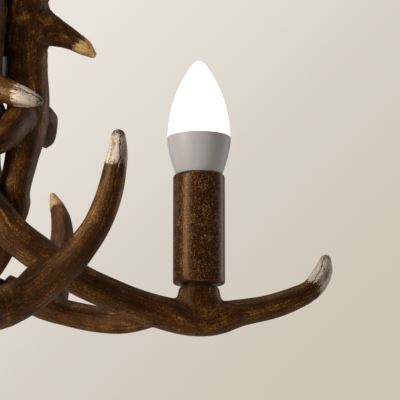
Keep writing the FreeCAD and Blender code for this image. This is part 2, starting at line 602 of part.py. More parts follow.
def lampholder_base():
    """Lower half of the lampholder: its entry screws onto the nipple, its cup holds the wiring."""
    floor = HOLDER_BOTTOM + 6.5
    profile = [
        (NIPPLE_RADIUS + THREAD_CLEARANCE, HOLDER_BOTTOM),
        (HOLDER_RADIUS * 0.75, HOLDER_BOTTOM),
        (HOLDER_RADIUS, HOLDER_BOTTOM + 5),
        (HOLDER_RADIUS, HOLDER_SPLIT),
        (HOLDER_RADIUS - HOLDER_WALL, HOLDER_SPLIT),
        (HOLDER_RADIUS - HOLDER_WALL, floor + 3),
        (HOLDER_RADIUS - HOLDER_WALL - 3, floor),
        (NIPPLE_RADIUS + THREAD_CLEARANCE, floor),
    ]
    return revolved(profile)


SIDE_CONTACT_PLACE = (SHELL_INNER + SHELL_OUTER) / 2
CONTACT_STEM_RADIUS = 1.0


def lampholder_socket():
    """Upper half of the lampholder: insulating floor, then the well of the threaded shell."""
    floor = HOLDER_SPLIT + 8.0
    body = cylinder(HOLDER_RADIUS, HOLDER_SPLIT, HOLDER_TOP)
    body = body.cut(cylinder(SHELL_OUTER + THREAD_CLEARANCE, floor, HOLDER_TOP + 1))
    body = body.cut(cylinder(CONTACT_STEM_RADIUS + THREAD_CLEARANCE, HOLDER_SPLIT - 1, floor + 1))
    side = cylinder(CONTACT_STEM_RADIUS + THREAD_CLEARANCE, HOLDER_SPLIT - 1, floor + 1,
                    x=SIDE_CONTACT_PLACE - CONTACT_STEM_RADIUS)
    return body.cut(side)


def threaded_shell():
    """Metal shell that the bulb's cap screws into."""
    return tube(SHELL_OUTER, SHELL_INNER, SHELL_BOTTOM, SHELL_TOP)


def holder_contacts():
    """Centre contact and side contact of one lampholder, as two solids."""
    foot = HOLDER_SPLIT - 3.0
    centre = cylinder(CONTACT_STEM_RADIUS, foot, CENTRE_CONTACT_TOP - 0.8)
    centre = centre.fuse(cylinder(3.0, CENTRE_CONTACT_TOP - 0.8, CENTRE_CONTACT_TOP))
    side = cylinder(CONTACT_STEM_RADIUS, foot, SHELL_BOTTOM,
                    x=SIDE_CONTACT_PLACE - CONTACT_STEM_RADIUS)
    return [centre, side]


def bulb_cap():
    """Screw cap with rolled thread ridges, open at the top to take the housing's spigot."""
    outline = [(CAP_ROOT_RADIUS - 1.2, CAP_BOTTOM), (CAP_ROOT_RADIUS, CAP_BOTTOM + 0.8)]
    ridge_count = int((CAP_LENGTH - 4.0) / CAP_PITCH)
    for index in range(ridge_count):
        base = CAP_BOTTOM + 0.8 + index * CAP_PITCH
        outline.append((CAP_ROOT_RADIUS, base + CAP_PITCH * 0.2))
        outline.append((CAP_RADIUS, base + CAP_PITCH * 0.45))
        outline.append((CAP_RADIUS, base + CAP_PITCH * 0.65))
        outline.append((CAP_ROOT_RADIUS, base + CAP_PITCH * 0.9))
    outline.append((CAP_ROOT_RADIUS, BULB_BOTTOM))
    inner = CAP_ROOT_RADIUS - CAP_WALL
    outline.append((inner, BULB_BOTTOM))
    outline.append((inner, CAP_BOTTOM + 1.4))
    outline.append((inner - 1.2, CAP_BOTTOM + CAP_WALL))
    outline.append((2.2, CAP_BOTTOM + CAP_WALL))
    outline.append((2.2, CAP_BOTTOM))
    return revolved(outline)


def bulb_contact():
    """Insulated foot of the cap with its round contact button."""
    profile = [
        (0, CONTACT_BOTTOM),
        (1.6, CONTACT_BOTTOM),
        (2.4, CONTACT_BOTTOM + 0.7),
        (3.4, CONTACT_BOTTOM + 0.9),
        (CAP_ROOT_RADIUS - 1.4, CAP_BOTTOM),
        (2.1, CAP_BOTTOM),
        (2.1, CAP_BOTTOM + 1.0),
        (0, CAP_BOTTOM + 1.0),
    ]
    return revolved(profile)


def housing_outline(inset):
    """Housing's flared side, from its underside to the globe's rim, moved in by inset."""
    shape = ((0.0, 0.725), (0.06, 0.755), (0.17, 0.80), (0.32, 0.855), (0.48, 0.905),
             (0.64, 0.95), (0.80, 0.985), (0.93, 1.0), (1.0, 1.0))
    return [(BULB_RADIUS * wide - inset, BULB_BOTTOM + BULB_HOUSING_HEIGHT * high)
            for high, wide in shape]


def bulb_housing():
    """Plastic housing: a flared cup whose spigot sits in the screw cap."""
    floor = BULB_BOTTOM + BULB_WALL
    outer = Part.Face(half_section(housing_outline(0.0))).revolve(Vector(0, 0, 0), UP, 360)
    inner_points = [point for point in housing_outline(BULB_WALL) if point[1] > floor]
    inner_points = [(inner_points[0][0] - 0.4, floor)] + inner_points
    inner_points[-1] = (inner_points[-1][0], BULB_RIM + 1)
    inner = Part.Face(half_section(inner_points)).revolve(Vector(0, 0, 0), UP, 360)
    spigot_radius = CAP_ROOT_RADIUS - CAP_WALL - THREAD_CLEARANCE
    spigot = tube(spigot_radius, spigot_radius - 1.2, BULB_BOTTOM - 7.0, BULB_BOTTOM + 0.2)
    bore = cylinder(spigot_radius - 1.2, BULB_BOTTOM - 8.0, floor + 1)
    return outer.cut(inner).fuse(spigot).cut(bore)


def globe_outline(inset):
    """Candle globe's side from its rim to its tip, moved in by inset."""
    shape = ((0.0, 0.985), (0.10, 0.972), (0.22, 0.940), (0.34, 0.885), (0.46, 0.808),
             (0.58, 0.705), (0.70, 0.575), (0.81, 0.425), (0.90, 0.285), (0.96, 0.170), (1.0, 0.0))
    height = BULB_TOP - BULB_RIM - inset
    points = []
    for high, wide in shape:
        radius = max(BULB_RADIUS * wide - inset, 0.0)
        points.append((radius, BULB_RIM + height * high))
    return points


def bulb_globe():
    """Opal candle-shaped globe, a thin shell."""
    outer = Part.Face(half_section(globe_outline(0.0))).revolve(Vector(0, 0, 0), UP, 360)
    inner = Part.Face(half_section(globe_outline(BULB_WALL * 0.8))).revolve(Vector(0, 0, 0), UP, 360)
    return outer.cut(inner)


def led_board():
    """Round board with a ring of light emitters, seated inside the housing's rim."""
    top = BULB_RIM - 0.4
    radius = BULB_RADIUS - BULB_WALL - SEAT_CLEARANCE
    body = cylinder(radius, top - BOARD_THICKNESS, top)
    emitter_count = 8
    for index in range(emitter_count):
        turn = math.radians(360 / emitter_count * index)
        x = radius * 0.55 * math.cos(turn)
        y = radius * 0.55 * math.sin(turn)
        body = body.fuse(Part.makeBox(2.8, 2.8, 0.9, Vector(x - 1.4, y - 1.4, top - 0.1)))
    return body


# ---- crown, tube and hub ----------------------------------------------------------------------
CROWN_SCREW_PLACE = TRUNK_OFFSET + 2.0


def crown_screw(index, extra=0.0):
    """Countersunk screw through the crown plate into a burr."""
    turn = math.radians(TURN * index + TRUNK_AZIMUTH)
    x = CROWN_SCREW_PLACE * math.cos(turn)
    y = CROWN_SCREW_PLACE * math.sin(turn)
    top = crown_height(CROWN_SCREW_PLACE) - 0.3
    head_height = CROWN_SCREW_RADIUS * 1.1
    head = Part.makeCone(CROWN_SCREW_RADIUS + extra, CROWN_SCREW_RADIUS * 2 + extra, head_height,
                         Vector(x, y, top - head_height), UP)
    shank = cylinder(CROWN_SCREW_RADIUS + extra, top - CROWN_SCREW_LENGTH - extra, top - head_height, x, y)
    return head.fuse(shank)


def crown_height(distance):
    """Height of the crown plate's upper face at a distance from the axis."""
    slope = (CROWN_RISE - CROWN_EDGE) / (CROWN_RADIUS - EYE_COLLAR_RADIUS)
    return BURR_HEIGHT + CROWN_EDGE + slope * (CROWN_RADIUS - distance)


def crown_plate():
    """Shallow coned plate on the burrs."""
    profile = [
        (NIPPLE_RADIUS + SEAT_CLEARANCE, BURR_HEIGHT),
        (CROWN_RADIUS, BURR_HEIGHT),
        (CROWN_RADIUS, BURR_HEIGHT + CROWN_EDGE),
        (EYE_COLLAR_RADIUS, CROWN_TOP),
        (NIPPLE_RADIUS + SEAT_CLEARANCE, CROWN_TOP),
    ]
    body = revolved(profile)
    for index in range(LAMP_COUNT):
        body = body.cut(crown_screw(index, THREAD_CLEARANCE))
    return body


def central_tube():
    """Threaded tube from the hub block up into the hanging eye."""
    return tube(NIPPLE_RADIUS, NIPPLE_BORE, HUB_LEVEL - HUB_HEIGHT / 2 - TUBE_TAIL, TUBE_TOP)


def hub_block():
    """Block on the tube that the trunk screws pull against."""
    low = HUB_LEVEL - HUB_HEIGHT / 2
    high = HUB_LEVEL + HUB_HEIGHT / 2
    body = tube(HUB_RADIUS, NIPPLE_RADIUS + THREAD_CLEARANCE, low, high)
    for index in range(LAMP_COUNT):
        body = body.cut(hub_screw(index, THREAD_CLEARANCE))
    return body


def eye(collar_low, collar_high, ring_centre, turned):
    """Collar with a ring, before it is tapped for its tube."""
    ring = Part.makeTorus(EYE_RING_RADIUS, EYE_WIRE_RADIUS, Vector(0, 0, ring_centre), turned)
    return cylinder(EYE_COLLAR_RADIUS, collar_low, collar_high).fuse(ring)


def tapped(body, mouth, tube_end, outlet_way):
    """The eye bored from its mouth past the tube's end, where a side hole lets the leads out."""
    way = math.copysign(1, tube_end - mouth)
    bore_end = tube_end + way * 1.9 * OUTLET_RADIUS
    low, high = sorted((mouth - way, bore_end))
    foot = Vector(0, 0, tube_end + way * OUTLET_RADIUS)
    outlet = rod(foot, foot + outlet_way * (EYE_COLLAR_RADIUS + 1), OUTLET_RADIUS)
    return body.cut(cylinder(NIPPLE_RADIUS + THREAD_CLEARANCE, low, high)).cut(outlet)


def hanging_eye():
    """Eye on the fixture's tube."""
    body = eye(CROWN_TOP, EYE_TOP, EYE_CENTRE, Vector(1, 0, 0))
    return tapped(body, CROWN_TOP, TUBE_TOP, Vector(1, 0, 0))


# ---- chain and ceiling ------------------------------------------------------------------------
def chain_link(top, quarter_turned):
    """Oval link that hangs from height top, in the YZ plane or a quarter turned from it."""
    bend = LINK_WIDTH / 2
    upper = Vector(0, 0, top - bend)
    lower = Vector(0, 0, top - LINK_LENGTH + bend)
    side = Vector(0, bend, 0)
    path = Part.Wire([
        Part.Arc(upper - side, Vector(0, 0, top), upper + side).toShape(),
        Part.makeLine(upper + side, lower + side),
        Part.Arc(lower + side, Vector(0, 0, top - LINK_LENGTH), lower - side).toShape(),
        Part.makeLine(lower - side, upper - side),
    ])
    section = Part.Wire([Part.makeCircle(LINK_WIRE_RADIUS, upper - side, UP)])
    link = path.makePipeShell([section], True, False)
    if quarter_turned:
        link.rotate(Vector(0, 0, 0), UP, 90)
    return link


def canopy():
    """Domed cover with its rim against the ceiling."""
    inner_radius = CANOPY_RADIUS - CANOPY_WALL
    flat = CANOPY_RADIUS * 0.35
    outer = [(CANOPY_RADIUS, 0), (CANOPY_RADIUS, -4), (CANOPY_RADIUS * 0.9, -CANOPY_DEPTH * 0.5),
             (CANOPY_RADIUS * 0.68, -CANOPY_DEPTH * 0.85), (flat, -CANOPY_DEPTH), (0, -CANOPY_DEPTH)]
    inner = [(inner_radius, 1), (inner_radius, -4), (inner_radius * 0.895, -CANOPY_DEPTH * 0.48),
             (inner_radius * 0.67, -CANOPY_DEPTH * 0.82), (flat, CANOPY_WALL - CANOPY_DEPTH),
             (0, CANOPY_WALL - CANOPY_DEPTH)]
    body = revolved(outer + [(0, 0)])
    body = body.cut(revolved(inner + [(0, 1)]))
    return body.cut(cylinder(NIPPLE_RADIUS + SEAT_CLEARANCE, -CANOPY_DEPTH - 1, 1))


def slot(x, length, width, low, high):
    """Upright round-ended slot along X."""
    reach = (length - width) / 2
    body = Part.makeBox(2 * reach, width, high - low, Vector(x - reach, -width / 2, low))
    for end in (-reach, reach):
        body = body.fuse(cylinder(width / 2, low, high, x=x + end))
    return body


def ceiling_bracket():
    """Crossbar whose slotted feet lie on the ceiling and whose tapped middle is set down."""
    foot_length = 2 * SLOT_LENGTH
    half = BRACKET_LENGTH / 2
    low = -BRACKET_DROP - BRACKET_THICKNESS
    step = half - foot_length
    outline = [
        (-half, 0), (-step, 0), (-step + BRACKET_DROP, -BRACKET_DROP),
        (step - BRACKET_DROP, -BRACKET_DROP), (step, 0), (half, 0), (half, -BRACKET_THICKNESS),
        (step - BRACKET_THICKNESS * 0.4, -BRACKET_THICKNESS), (step - BRACKET_DROP - BRACKET_THICKNESS * 0.4, low),
        (-step + BRACKET_DROP + BRACKET_THICKNESS * 0.4, low),
        (-step + BRACKET_THICKNESS * 0.4, -BRACKET_THICKNESS), (-half, -BRACKET_THICKNESS),
    ]
    points = [Vector(x, -BRACKET_WIDTH / 2, z) for x, z in outline]
    face = Part.Face(Part.makePolygon(points + points[:1]))
    body = face.extrude(Vector(0, BRACKET_WIDTH, 0))
    for side in (-1, 1):
        body = body.cut(slot(side * SCREW_SPACING / 2, SLOT_LENGTH, SLOT_WIDTH, low - 1, 1))
    return body.cut(cylinder(NIPPLE_RADIUS + THREAD_CLEARANCE, low - 1, 1))


def canopy_stud():
    """Threaded tube from the crossbar through the canopy into the canopy's loop."""
    return tube(NIPPLE_RADIUS, NIPPLE_BORE, -CANOPY_DEPTH - TUBE_TOP_GRIP, -BRACKET_DROP)


def canopy_loop():
    """Screw collar and ring that hold the canopy up and carry the chain."""
    low = -CANOPY_DEPTH - EYE_COLLAR_HEIGHT
    body = eye(low, -CANOPY_DEPTH, CANOPY_LOOP_CENTRE, Vector(0, 1, 0))
    return tapped(body, -CANOPY_DEPTH, -CANOPY_DEPTH - TUBE_TOP_GRIP, Vector(0, 1, 0))


def terminal_block():
    """Two-way terminal block under the crossbar, for the supply."""
    length, width, height = TERMINAL_BLOCK
    top = -BRACKET_DROP - BRACKET_THICKNESS
    left = -NIPPLE_RADIUS - 2.0 - length
    body = Part.makeBox(length, width, height, Vector(left, -width / 2, top - height))
    for row in (-1, 1):
        for column in (0.3, 0.7):
            x = left + length * column
            well = cylinder(1.8, top - height - 1, top - height + 3.5, x, row * width / 4)
            body = body.cut(well)
        entry = rod(Vector(left - 1, row * width / 4, top - height / 2),
                    Vector(left + length + 1, row * width / 4, top - height / 2), 1.4)
        body = body.cut(entry)
    return body


# ---- the whole object -------------------------------------------------------------------------
def at_lamp(shape, index):
    """A candle piece drawn on the Z axis, moved to its lamp and lowered."""
    moved = shape.copy()
    moved.translate(Vector(LAMP_RADIUS, 0, 0))
    return lowered(around(moved, index))


def make_antlers():
    """The six antlers, drilled for screws, dowels, leads and tube, and the fasteners' plugs."""
    channel = along_route(lead_route(), LEAD_CHANNEL_RADIUS)
    tube_groove = cylinder(NIPPLE_RADIUS + SEAT_CLEARANCE, HUB_LEVEL - HUB_HEIGHT / 2 - TUBE_TAIL - 3,
                           BURR_HEIGHT + 1)
    hub_pocket = cylinder(HUB_RADIUS + SEAT_CLEARANCE, HUB_LEVEL - HUB_HEIGHT / 2 - SEAT_CLEARANCE,
                          HUB_LEVEL + HUB_HEIGHT / 2 + SEAT_CLEARANCE)
    nipple_hole = cylinder(NIPPLE_RADIUS + THREAD_CLEARANCE, -SEAT_THICKNESS - NIPPLE_DEPTH - 0.5, 1,
                           x=LAMP_RADIUS)
    hub_well = radial(0, HUB_SCREW_SEAT - 0.01, HUB_SCREW_SEAT + 40, HUB_HEAD_RADIUS + THREAD_CLEARANCE,
                      HUB_LEVEL)
    dowel_here = around(dowel(THREAD_CLEARANCE), -1)
    cuts = [channel, tube_groove, hub_pocket, nipple_hole, hub_screw(0, THREAD_CLEARANCE), hub_well,
            crown_screw(0, THREAD_CLEARANCE), cross_screw(THREAD_CLEARANCE), cross_screw_well(), dowel_here]
    hub_plug = radial(0, HUB_SCREW_SEAT + HUB_HEAD_HEIGHT + PLUG_GAP, HUB_SCREW_SEAT + 40,
                      HUB_HEAD_RADIUS, HUB_LEVEL)
    cross_plug = rod(Vector(CROSS_SCREW_PLACE.x, -ARM_RADIUS * 2, CROSS_SCREW_PLACE.z),
                     Vector(CROSS_SCREW_PLACE.x, CROSS_SCREW_SEAT - PLUG_GAP, CROSS_SCREW_PLACE.z),
                     CROSS_HEAD_RADIUS)
    plugs = []
    for index, form in enumerate(LAMP_ANTLER_FORMS):
        whole = whole_lamp_antler(**form)
        for plug in (hub_plug, cross_plug):
            plugs.append(lowered(around(plug.common(whole), index)))
        drilled = whole
        for cutter in cuts:
            drilled = drilled.cut(cutter)
        export("lamp_antler_%d" % (index + 1), lowered(around(drilled, index)))
    export("screw_plugs", Part.makeCompound(plugs))

    forms = (rear_cross_antler(), rear_cross_antler(), front_cross_antler())
    for index, whole in enumerate(forms):
        drilled = whole.cut(cross_screw(THREAD_CLEARANCE)).cut(dowel(THREAD_CLEARANCE))
        export("cross_antler_%d" % (index + 1), lowered(around(drilled, index)))


def make_fasteners():
    """Screws, dowels and leads of the antler cluster."""
    every = range(LAMP_COUNT)
    export("hub_screws", Part.makeCompound([lowered(hub_screw(index)) for index in every]))
    export("crown_screws", Part.makeCompound([lowered(crown_screw(index)) for index in every]))
    export("cross_screws", Part.makeCompound([lowered(around(cross_screw(), index)) for index in every]))
    export("antler_dowels", Part.makeCompound([lowered(around(dowel(), index)) for index in every]))
    lead = along_route(lead_route(), LEAD_RADIUS)
    for index in every:
        export("lamp_lead_%d" % (index + 1), lowered(around(lead, index)))


def make_lamps():
    """Sleeves, lampholders and bulbs."""
    washer = tube(SEAT_RADIUS, NIPPLE_RADIUS + SEAT_CLEARANCE, -SEAT_THICKNESS, 0)
    shared = {"seat_washers": [washer], "lamp_nipples": [nipple()], "holder_nuts": [holder_nut()],
              "holder_contacts": holder_contacts()}
    for name, pieces in shared.items():
        solids = []
        for index in range(LAMP_COUNT):
            for piece in pieces:
                solids.append(at_lamp(piece, index))
        export(name, Part.makeCompound(solids))
    single = {"candle_sleeve": candle_sleeve(), "lampholder_base": lampholder_base(),
              "lampholder_socket": lampholder_socket(), "threaded_shell": threaded_shell(),
              "bulb_cap": bulb_cap(), "bulb_contact": bulb_contact(), "bulb_housing": bulb_housing(),
              "bulb_globe": bulb_globe(), "bulb_led_board": led_board()}
    for name, piece in single.items():
        for index in range(LAMP_COUNT):
            export("%s_%d" % (name, index + 1), at_lamp(piece, index))


def make_crown_and_ceiling():
    """Crown, tube and hub of the cluster, the chain, and what hangs it from the ceiling."""
    export("crown_plate", lowered(crown_plate()))
    export("central_tube", lowered(central_tube()))
    export("hub_block", lowered(hub_block()))
    export("hanging_eye", lowered(hanging_eye()))
    for index in range(LINK_COUNT):
        link = chain_link(FIRST_LINK_TOP - index * LINK_PITCH, quarter_turned=index % 2 == 1)
        export("chain_link_%d" % (index + 1), link)
    export("canopy", canopy())
    export("canopy_stud", canopy_stud())
    export("canopy_loop", canopy_loop())
    export("ceiling_bracket", ceiling_bracket())
    export("terminal_block", terminal_block())


def main():
    """Write every sub-part."""
    os.makedirs("parts", exist_ok=True)
    make_antlers()
    make_fasteners()
    make_lamps()
    make_crown_and_ceiling()
    print("ceiling plane to lamp plane", round(LAMP_DROP, 3))
    print("chain pivots", [round(value, 3) for value in chain_pivots()])


def chain_pivots():
    """Heights of the chain's pivots, from the canopy's loop down to the hanging eye."""
    pivots = [CANOPY_PIVOT]
    for index in range(LINK_COUNT):
        pivots.append(FIRST_LINK_TOP - index * LINK_PITCH - LINK_LENGTH)
    return pivots


if __name__ == "__main__":
    main()
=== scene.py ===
"""Antler chandelier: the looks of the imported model.

The antlers, the candle sleeves and the bulbs' housings and globes are modelled here in fine meshes
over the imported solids, and every other piece keeps its solid and gets a finish. Sizes are in
millimetres, as on a drawing, and each mesh is scaled to metres where it is made. Heights named
"above the lamp plane" are above the feet of the candle sleeves.
"""
import sys

import logging
import math
from collections.abc import Callable, Sequence
from dataclasses import dataclass, field
from enum import Enum
from functools import partial

import bpy
import numpy as np
from mathutils import Matrix, Vector, noise

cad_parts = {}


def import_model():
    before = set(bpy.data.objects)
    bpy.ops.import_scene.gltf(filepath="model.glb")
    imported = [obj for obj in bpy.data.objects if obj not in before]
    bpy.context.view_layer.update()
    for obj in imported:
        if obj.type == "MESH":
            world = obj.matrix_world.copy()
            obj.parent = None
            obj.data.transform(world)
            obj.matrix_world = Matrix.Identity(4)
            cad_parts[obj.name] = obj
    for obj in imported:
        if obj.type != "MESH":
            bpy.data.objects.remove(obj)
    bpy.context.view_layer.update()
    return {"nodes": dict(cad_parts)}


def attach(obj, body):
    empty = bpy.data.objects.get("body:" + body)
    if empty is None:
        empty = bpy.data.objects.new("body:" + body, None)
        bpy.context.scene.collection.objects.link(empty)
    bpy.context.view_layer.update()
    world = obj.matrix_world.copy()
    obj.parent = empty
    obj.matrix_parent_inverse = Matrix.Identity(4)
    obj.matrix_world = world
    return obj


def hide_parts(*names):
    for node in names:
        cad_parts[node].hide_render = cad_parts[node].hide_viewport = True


MM = 0.001
LAMP_COUNT = 3
TURN = math.radians(360.0 / LAMP_COUNT)
LAMP_PLANE = -395.0  # height of the lamp plane below the ceiling, mm
UP = Vector((0.0, 0.0, 1.0))
CREASE = math.radians(40)  # faces that meet at a sharper angle keep a hard edge
POLE_SHARE = 0.02  # radius of the ring that is merged into a pole, against the ring before it

Place = tuple[float, float, float]
Station = tuple[float, float, float, float]
Profile = list[tuple[float, float]]
NodeMaker = Callable[..., bpy.types.Node]

log = logging.getLogger("antler_chandelier")


# ---- small tools ------------------------------------------------------------------------------
def clear_selection() -> None:
    """Leave edit mode and deselect everything, CAD nodes included."""
    if bpy.context.object is not None and bpy.context.object.mode != "OBJECT":
        bpy.ops.object.mode_set(mode="OBJECT")
    bpy.ops.object.select_all(action="DESELECT")


def pick(*pieces: bpy.types.Object) -> None:
    """Select these pieces alone, the first of them active."""
    clear_selection()
    for piece in pieces:
        piece.select_set(True)
    bpy.context.view_layer.objects.active = pieces[0]


def apply_modifier(piece: bpy.types.Object, kind: str, **settings: object) -> None:
    """Add one modifier to a piece and apply it.

    Args:
        piece: the piece to change.
        kind: Blender's name of the modifier.
        **settings: the modifier's properties.
    """
    pick(piece)
    modifier = piece.modifiers.new(kind.lower(), kind)
    for key, value in settings.items():
        setattr(modifier, key, value)
    bpy.ops.object.modifier_apply(modifier=modifier.name)


def copied(piece: bpy.types.Object, name: str, turn: float) -> bpy.types.Object:
    """Copy a finished piece with its own mesh, turned about the chandelier's axis.

    Args:
        piece: the piece to copy.
        name: the copy's name.
        turn: angle about the axis, in radians.

    Returns:
        The copy, its place in its mesh.
    """
    twin = piece.copy()
    twin.data = piece.data.copy()
    twin.name = name
    bpy.context.scene.collection.objects.link(twin)
    twin.data.transform(Matrix.Rotation(turn, 4, "Z"))
    return twin


def lamp_place(x: float = 0.0) -> Vector:
    """The point of the lamp plane this far out along the first arm, in millimetres."""
    return Vector((x, 0.0, LAMP_PLANE))


@dataclass(frozen=True)
class Ring:
    """One round section of a piece: its centre and radius in mm, and the way its axis points."""

    centre: Vector
    radius: float
    along: Vector = field(default_factory=lambda: UP.copy())


class RingTool:
    """Grows a round piece ring by ring with edit-mode operators."""

    def __init__(self, name: str, first: Ring, corners: int, capped: bool) -> None:
        """Place the first ring.

        Args:
            name: the piece's name.
            first: the ring that the piece starts with.
            corners: points round each ring.
            capped: close the start, so that the piece is solid.
        """
        clear_selection()
        bpy.ops.mesh.primitive_circle_add(
            vertices=corners,
            radius=first.radius * MM,
            fill_type="NGON" if capped else "NOTHING",
            location=first.centre * MM,
            rotation=first.along.to_track_quat("Z", "Y").to_euler(),
        )
        self.piece = bpy.context.active_object
        self.piece.name = name
        self.last = first
        bpy.ops.object.transform_apply(location=True, rotation=True, scale=True)
        bpy.ops.object.mode_set(mode="EDIT")
        bpy.ops.mesh.select_mode(type="VERT")
        bpy.ops.mesh.select_all(action="SELECT")

    def grow(self, ring: Ring) -> None:
        """Extrude the open end to the next ring, then turn and size it."""
        centre = ring.centre * MM
        bpy.ops.mesh.extrude_region()
        bpy.ops.transform.translate(value=(ring.centre - self.last.centre) * MM)
        turns = self.last.along.rotation_difference(ring.along).to_euler("XYZ")
        for axis, angle in zip("XYZ", turns):
            if abs(angle) > 1e-5:
                bpy.ops.transform.rotate(
                    value=-angle, orient_axis=axis, orient_type="GLOBAL", center_override=centre
                )
        share = ring.radius / self.last.radius
        bpy.ops.transform.resize(value=(share, share, share), center_override=centre)
        self.last = ring

    def close_pole(self) -> None:
        """Draw the open end together into one point."""
        bpy.ops.mesh.merge(type="CENTER")

    def finish(self) -> bpy.types.Object:
        """Merge doubled points, turn the faces outwards and leave edit mode."""
        bpy.ops.mesh.select_all(action="SELECT")
        bpy.ops.mesh.remove_doubles(threshold=1e-6)
        bpy.ops.mesh.normals_make_consistent(inside=False)
        bpy.ops.object.mode_set(mode="OBJECT")
        return self.piece


def turned(name: str, profile: Profile, centre: Vector, corners: int = 72) -> bpy.types.Object:
    """A turned piece grown from its (radius, height) profile; equal end points close it.

    Args:
        name: the piece's name.
        profile: radii and heights in mm, from the first ring to the last; a last radius of 0 is a pole.
        centre: the foot of the piece's axis, in mm.
        corners: points round the piece.

    Returns:
        The piece, smooth shaded but for its creases.
    """
    rings = [Ring(centre + UP * height, radius) for radius, height in profile if radius > 0]
    tool = RingTool(name, rings[0], corners, capped=False)
    for ring in rings[1:]:
        tool.grow(ring)
    if profile[-1][0] <= 0:
        tool.grow(Ring(centre + UP * profile[-1][1], rings[-1].radius * POLE_SHARE))
        tool.close_pole()
    piece = tool.finish()
    pick(piece)
    bpy.ops.object.shade_smooth_by_angle(angle=CREASE)
    return piece


def smooth_profile(points: Profile, step: float) -> Profile:
    """Rounded steps through the corners of a (radius, height) profile.

    Args:
        points: the profile's corners in mm.
        step: the longest step between two points of the result, in mm.

    Returns:
        The profile with Catmull-Rom points between its corners.
    """
    rounded: Profile = [points[0]]
    for index in range(len(points) - 1):
        first, last = Vector(points[index]), Vector(points[index + 1])
        before = Vector(points[max(index - 1, 0)])
        after = Vector(points[min(index + 2, len(points) - 1)])
        count = max(1, math.ceil((last - first).length / step))
        for part in range(1, count + 1):
            t = part / count
            place = 0.5 * (
                2 * first
                + (last - before) * t
                + (2 * before - 5 * first + 4 * last - after) * t**2
                + (3 * first - before - 3 * last + after) * t**3
            )
            rounded.append((place.x, place.y))
    return rounded


# ---- finishes ---------------------------------------------------------------------------------
def linear(code: str) -> tuple[float, float, float, float]:
    """Linear RGBA of an sRGB hex colour such as "#5a3a1c"."""
    parts = [int(code[index : index + 2], 16) / 255 for index in (1, 3, 5)]
    red, green, blue = (p / 12.92 if p <= 0.04045 else ((p + 0.055) / 1.055) ** 2.4 for p in parts)
    return red, green, blue, 1.0


def add_node(
    tree: bpy.types.NodeTree,
    kind: str,
    inputs: dict[str | int, object] | None = None,
    settings: dict[str, object] | None = None,
    stops: Sequence[tuple[float, str]] = (),
) -> bpy.types.Node:
    """Add one node with its settings, values and links.

    Args:
        tree: the node tree.
        kind: Blender's name of the node, without the "ShaderNode" it starts with.
        inputs: for each input a value, a node whose first output is linked, or an output.
        settings: the node's properties.
        stops: places and sRGB hex colours, where the node has a colour ramp.

    Returns:
        The node.
    """
    node = tree.nodes.new("ShaderNode" + kind)
    for key, value in (settings or {}).items():
        setattr(node, key, value)
    for key, value in (inputs or {}).items():
        if isinstance(value, bpy.types.Node):
            value = value.outputs[0]
        if isinstance(value, bpy.types.NodeSocket):
            tree.links.new(value, node.inputs[key])
        else:
            node.inputs[key].default_value = value
    for index, (place, code) in enumerate(stops):
        elements = node.color_ramp.elements
        element = elements[index] if index < len(elements) else elements.new(place)
        element.position, element.color = place, linear(code)
    return node


def emptied(owner: bpy.types.Material | bpy.types.World) -> NodeMaker:
    """Empty a node tree.

    Args:
        owner: the material or the world that has the tree.

    Returns:
        add_node for that tree.
    """
    owner.use_nodes = True
    owner.node_tree.nodes.clear()
    return partial(add_node, owner.node_tree)


def pattern_scale(size: float) -> float:
    """Noise scale whose features are about this many millimetres wide, for coordinates in metres."""
    return 1.0 / (size * MM)


MULTIPLY = {"operation": "MULTIPLY"}
MULTIPLY_ADD = {"operation": "MULTIPLY_ADD"}
MAXIMUM = {"operation": "MAXIMUM"}
MIX_COLOURS = {"data_type": "RGBA"}
SMOOTH_STEP = {"interpolation_type": "SMOOTHSTEP"}


@dataclass(frozen=True)
class Finish:
    """One procedural finish; its kinds say what feeds the surface shader."""

    name: str

    def sockets(self, node: NodeMaker, place: bpy.types.NodeSocket) -> dict[str, object]:
        """What goes into the surface shader.

        Args:
            node: adds a node to the material.
            place: the Object coordinates.

        Returns:
            A value, node or output for each of the shader's inputs that isn't left as it is.
        """
        raise NotImplementedError

    def build(self) -> bpy.types.Material:
        """Make the material."""
        material = bpy.data.materials.new(self.name)
        node = emptied(material)
        place = node("TexCoord").outputs["Object"]
        surface = node("BsdfPrincipled", self.sockets(node, place))
        node("OutputMaterial", {0: surface})
        return material


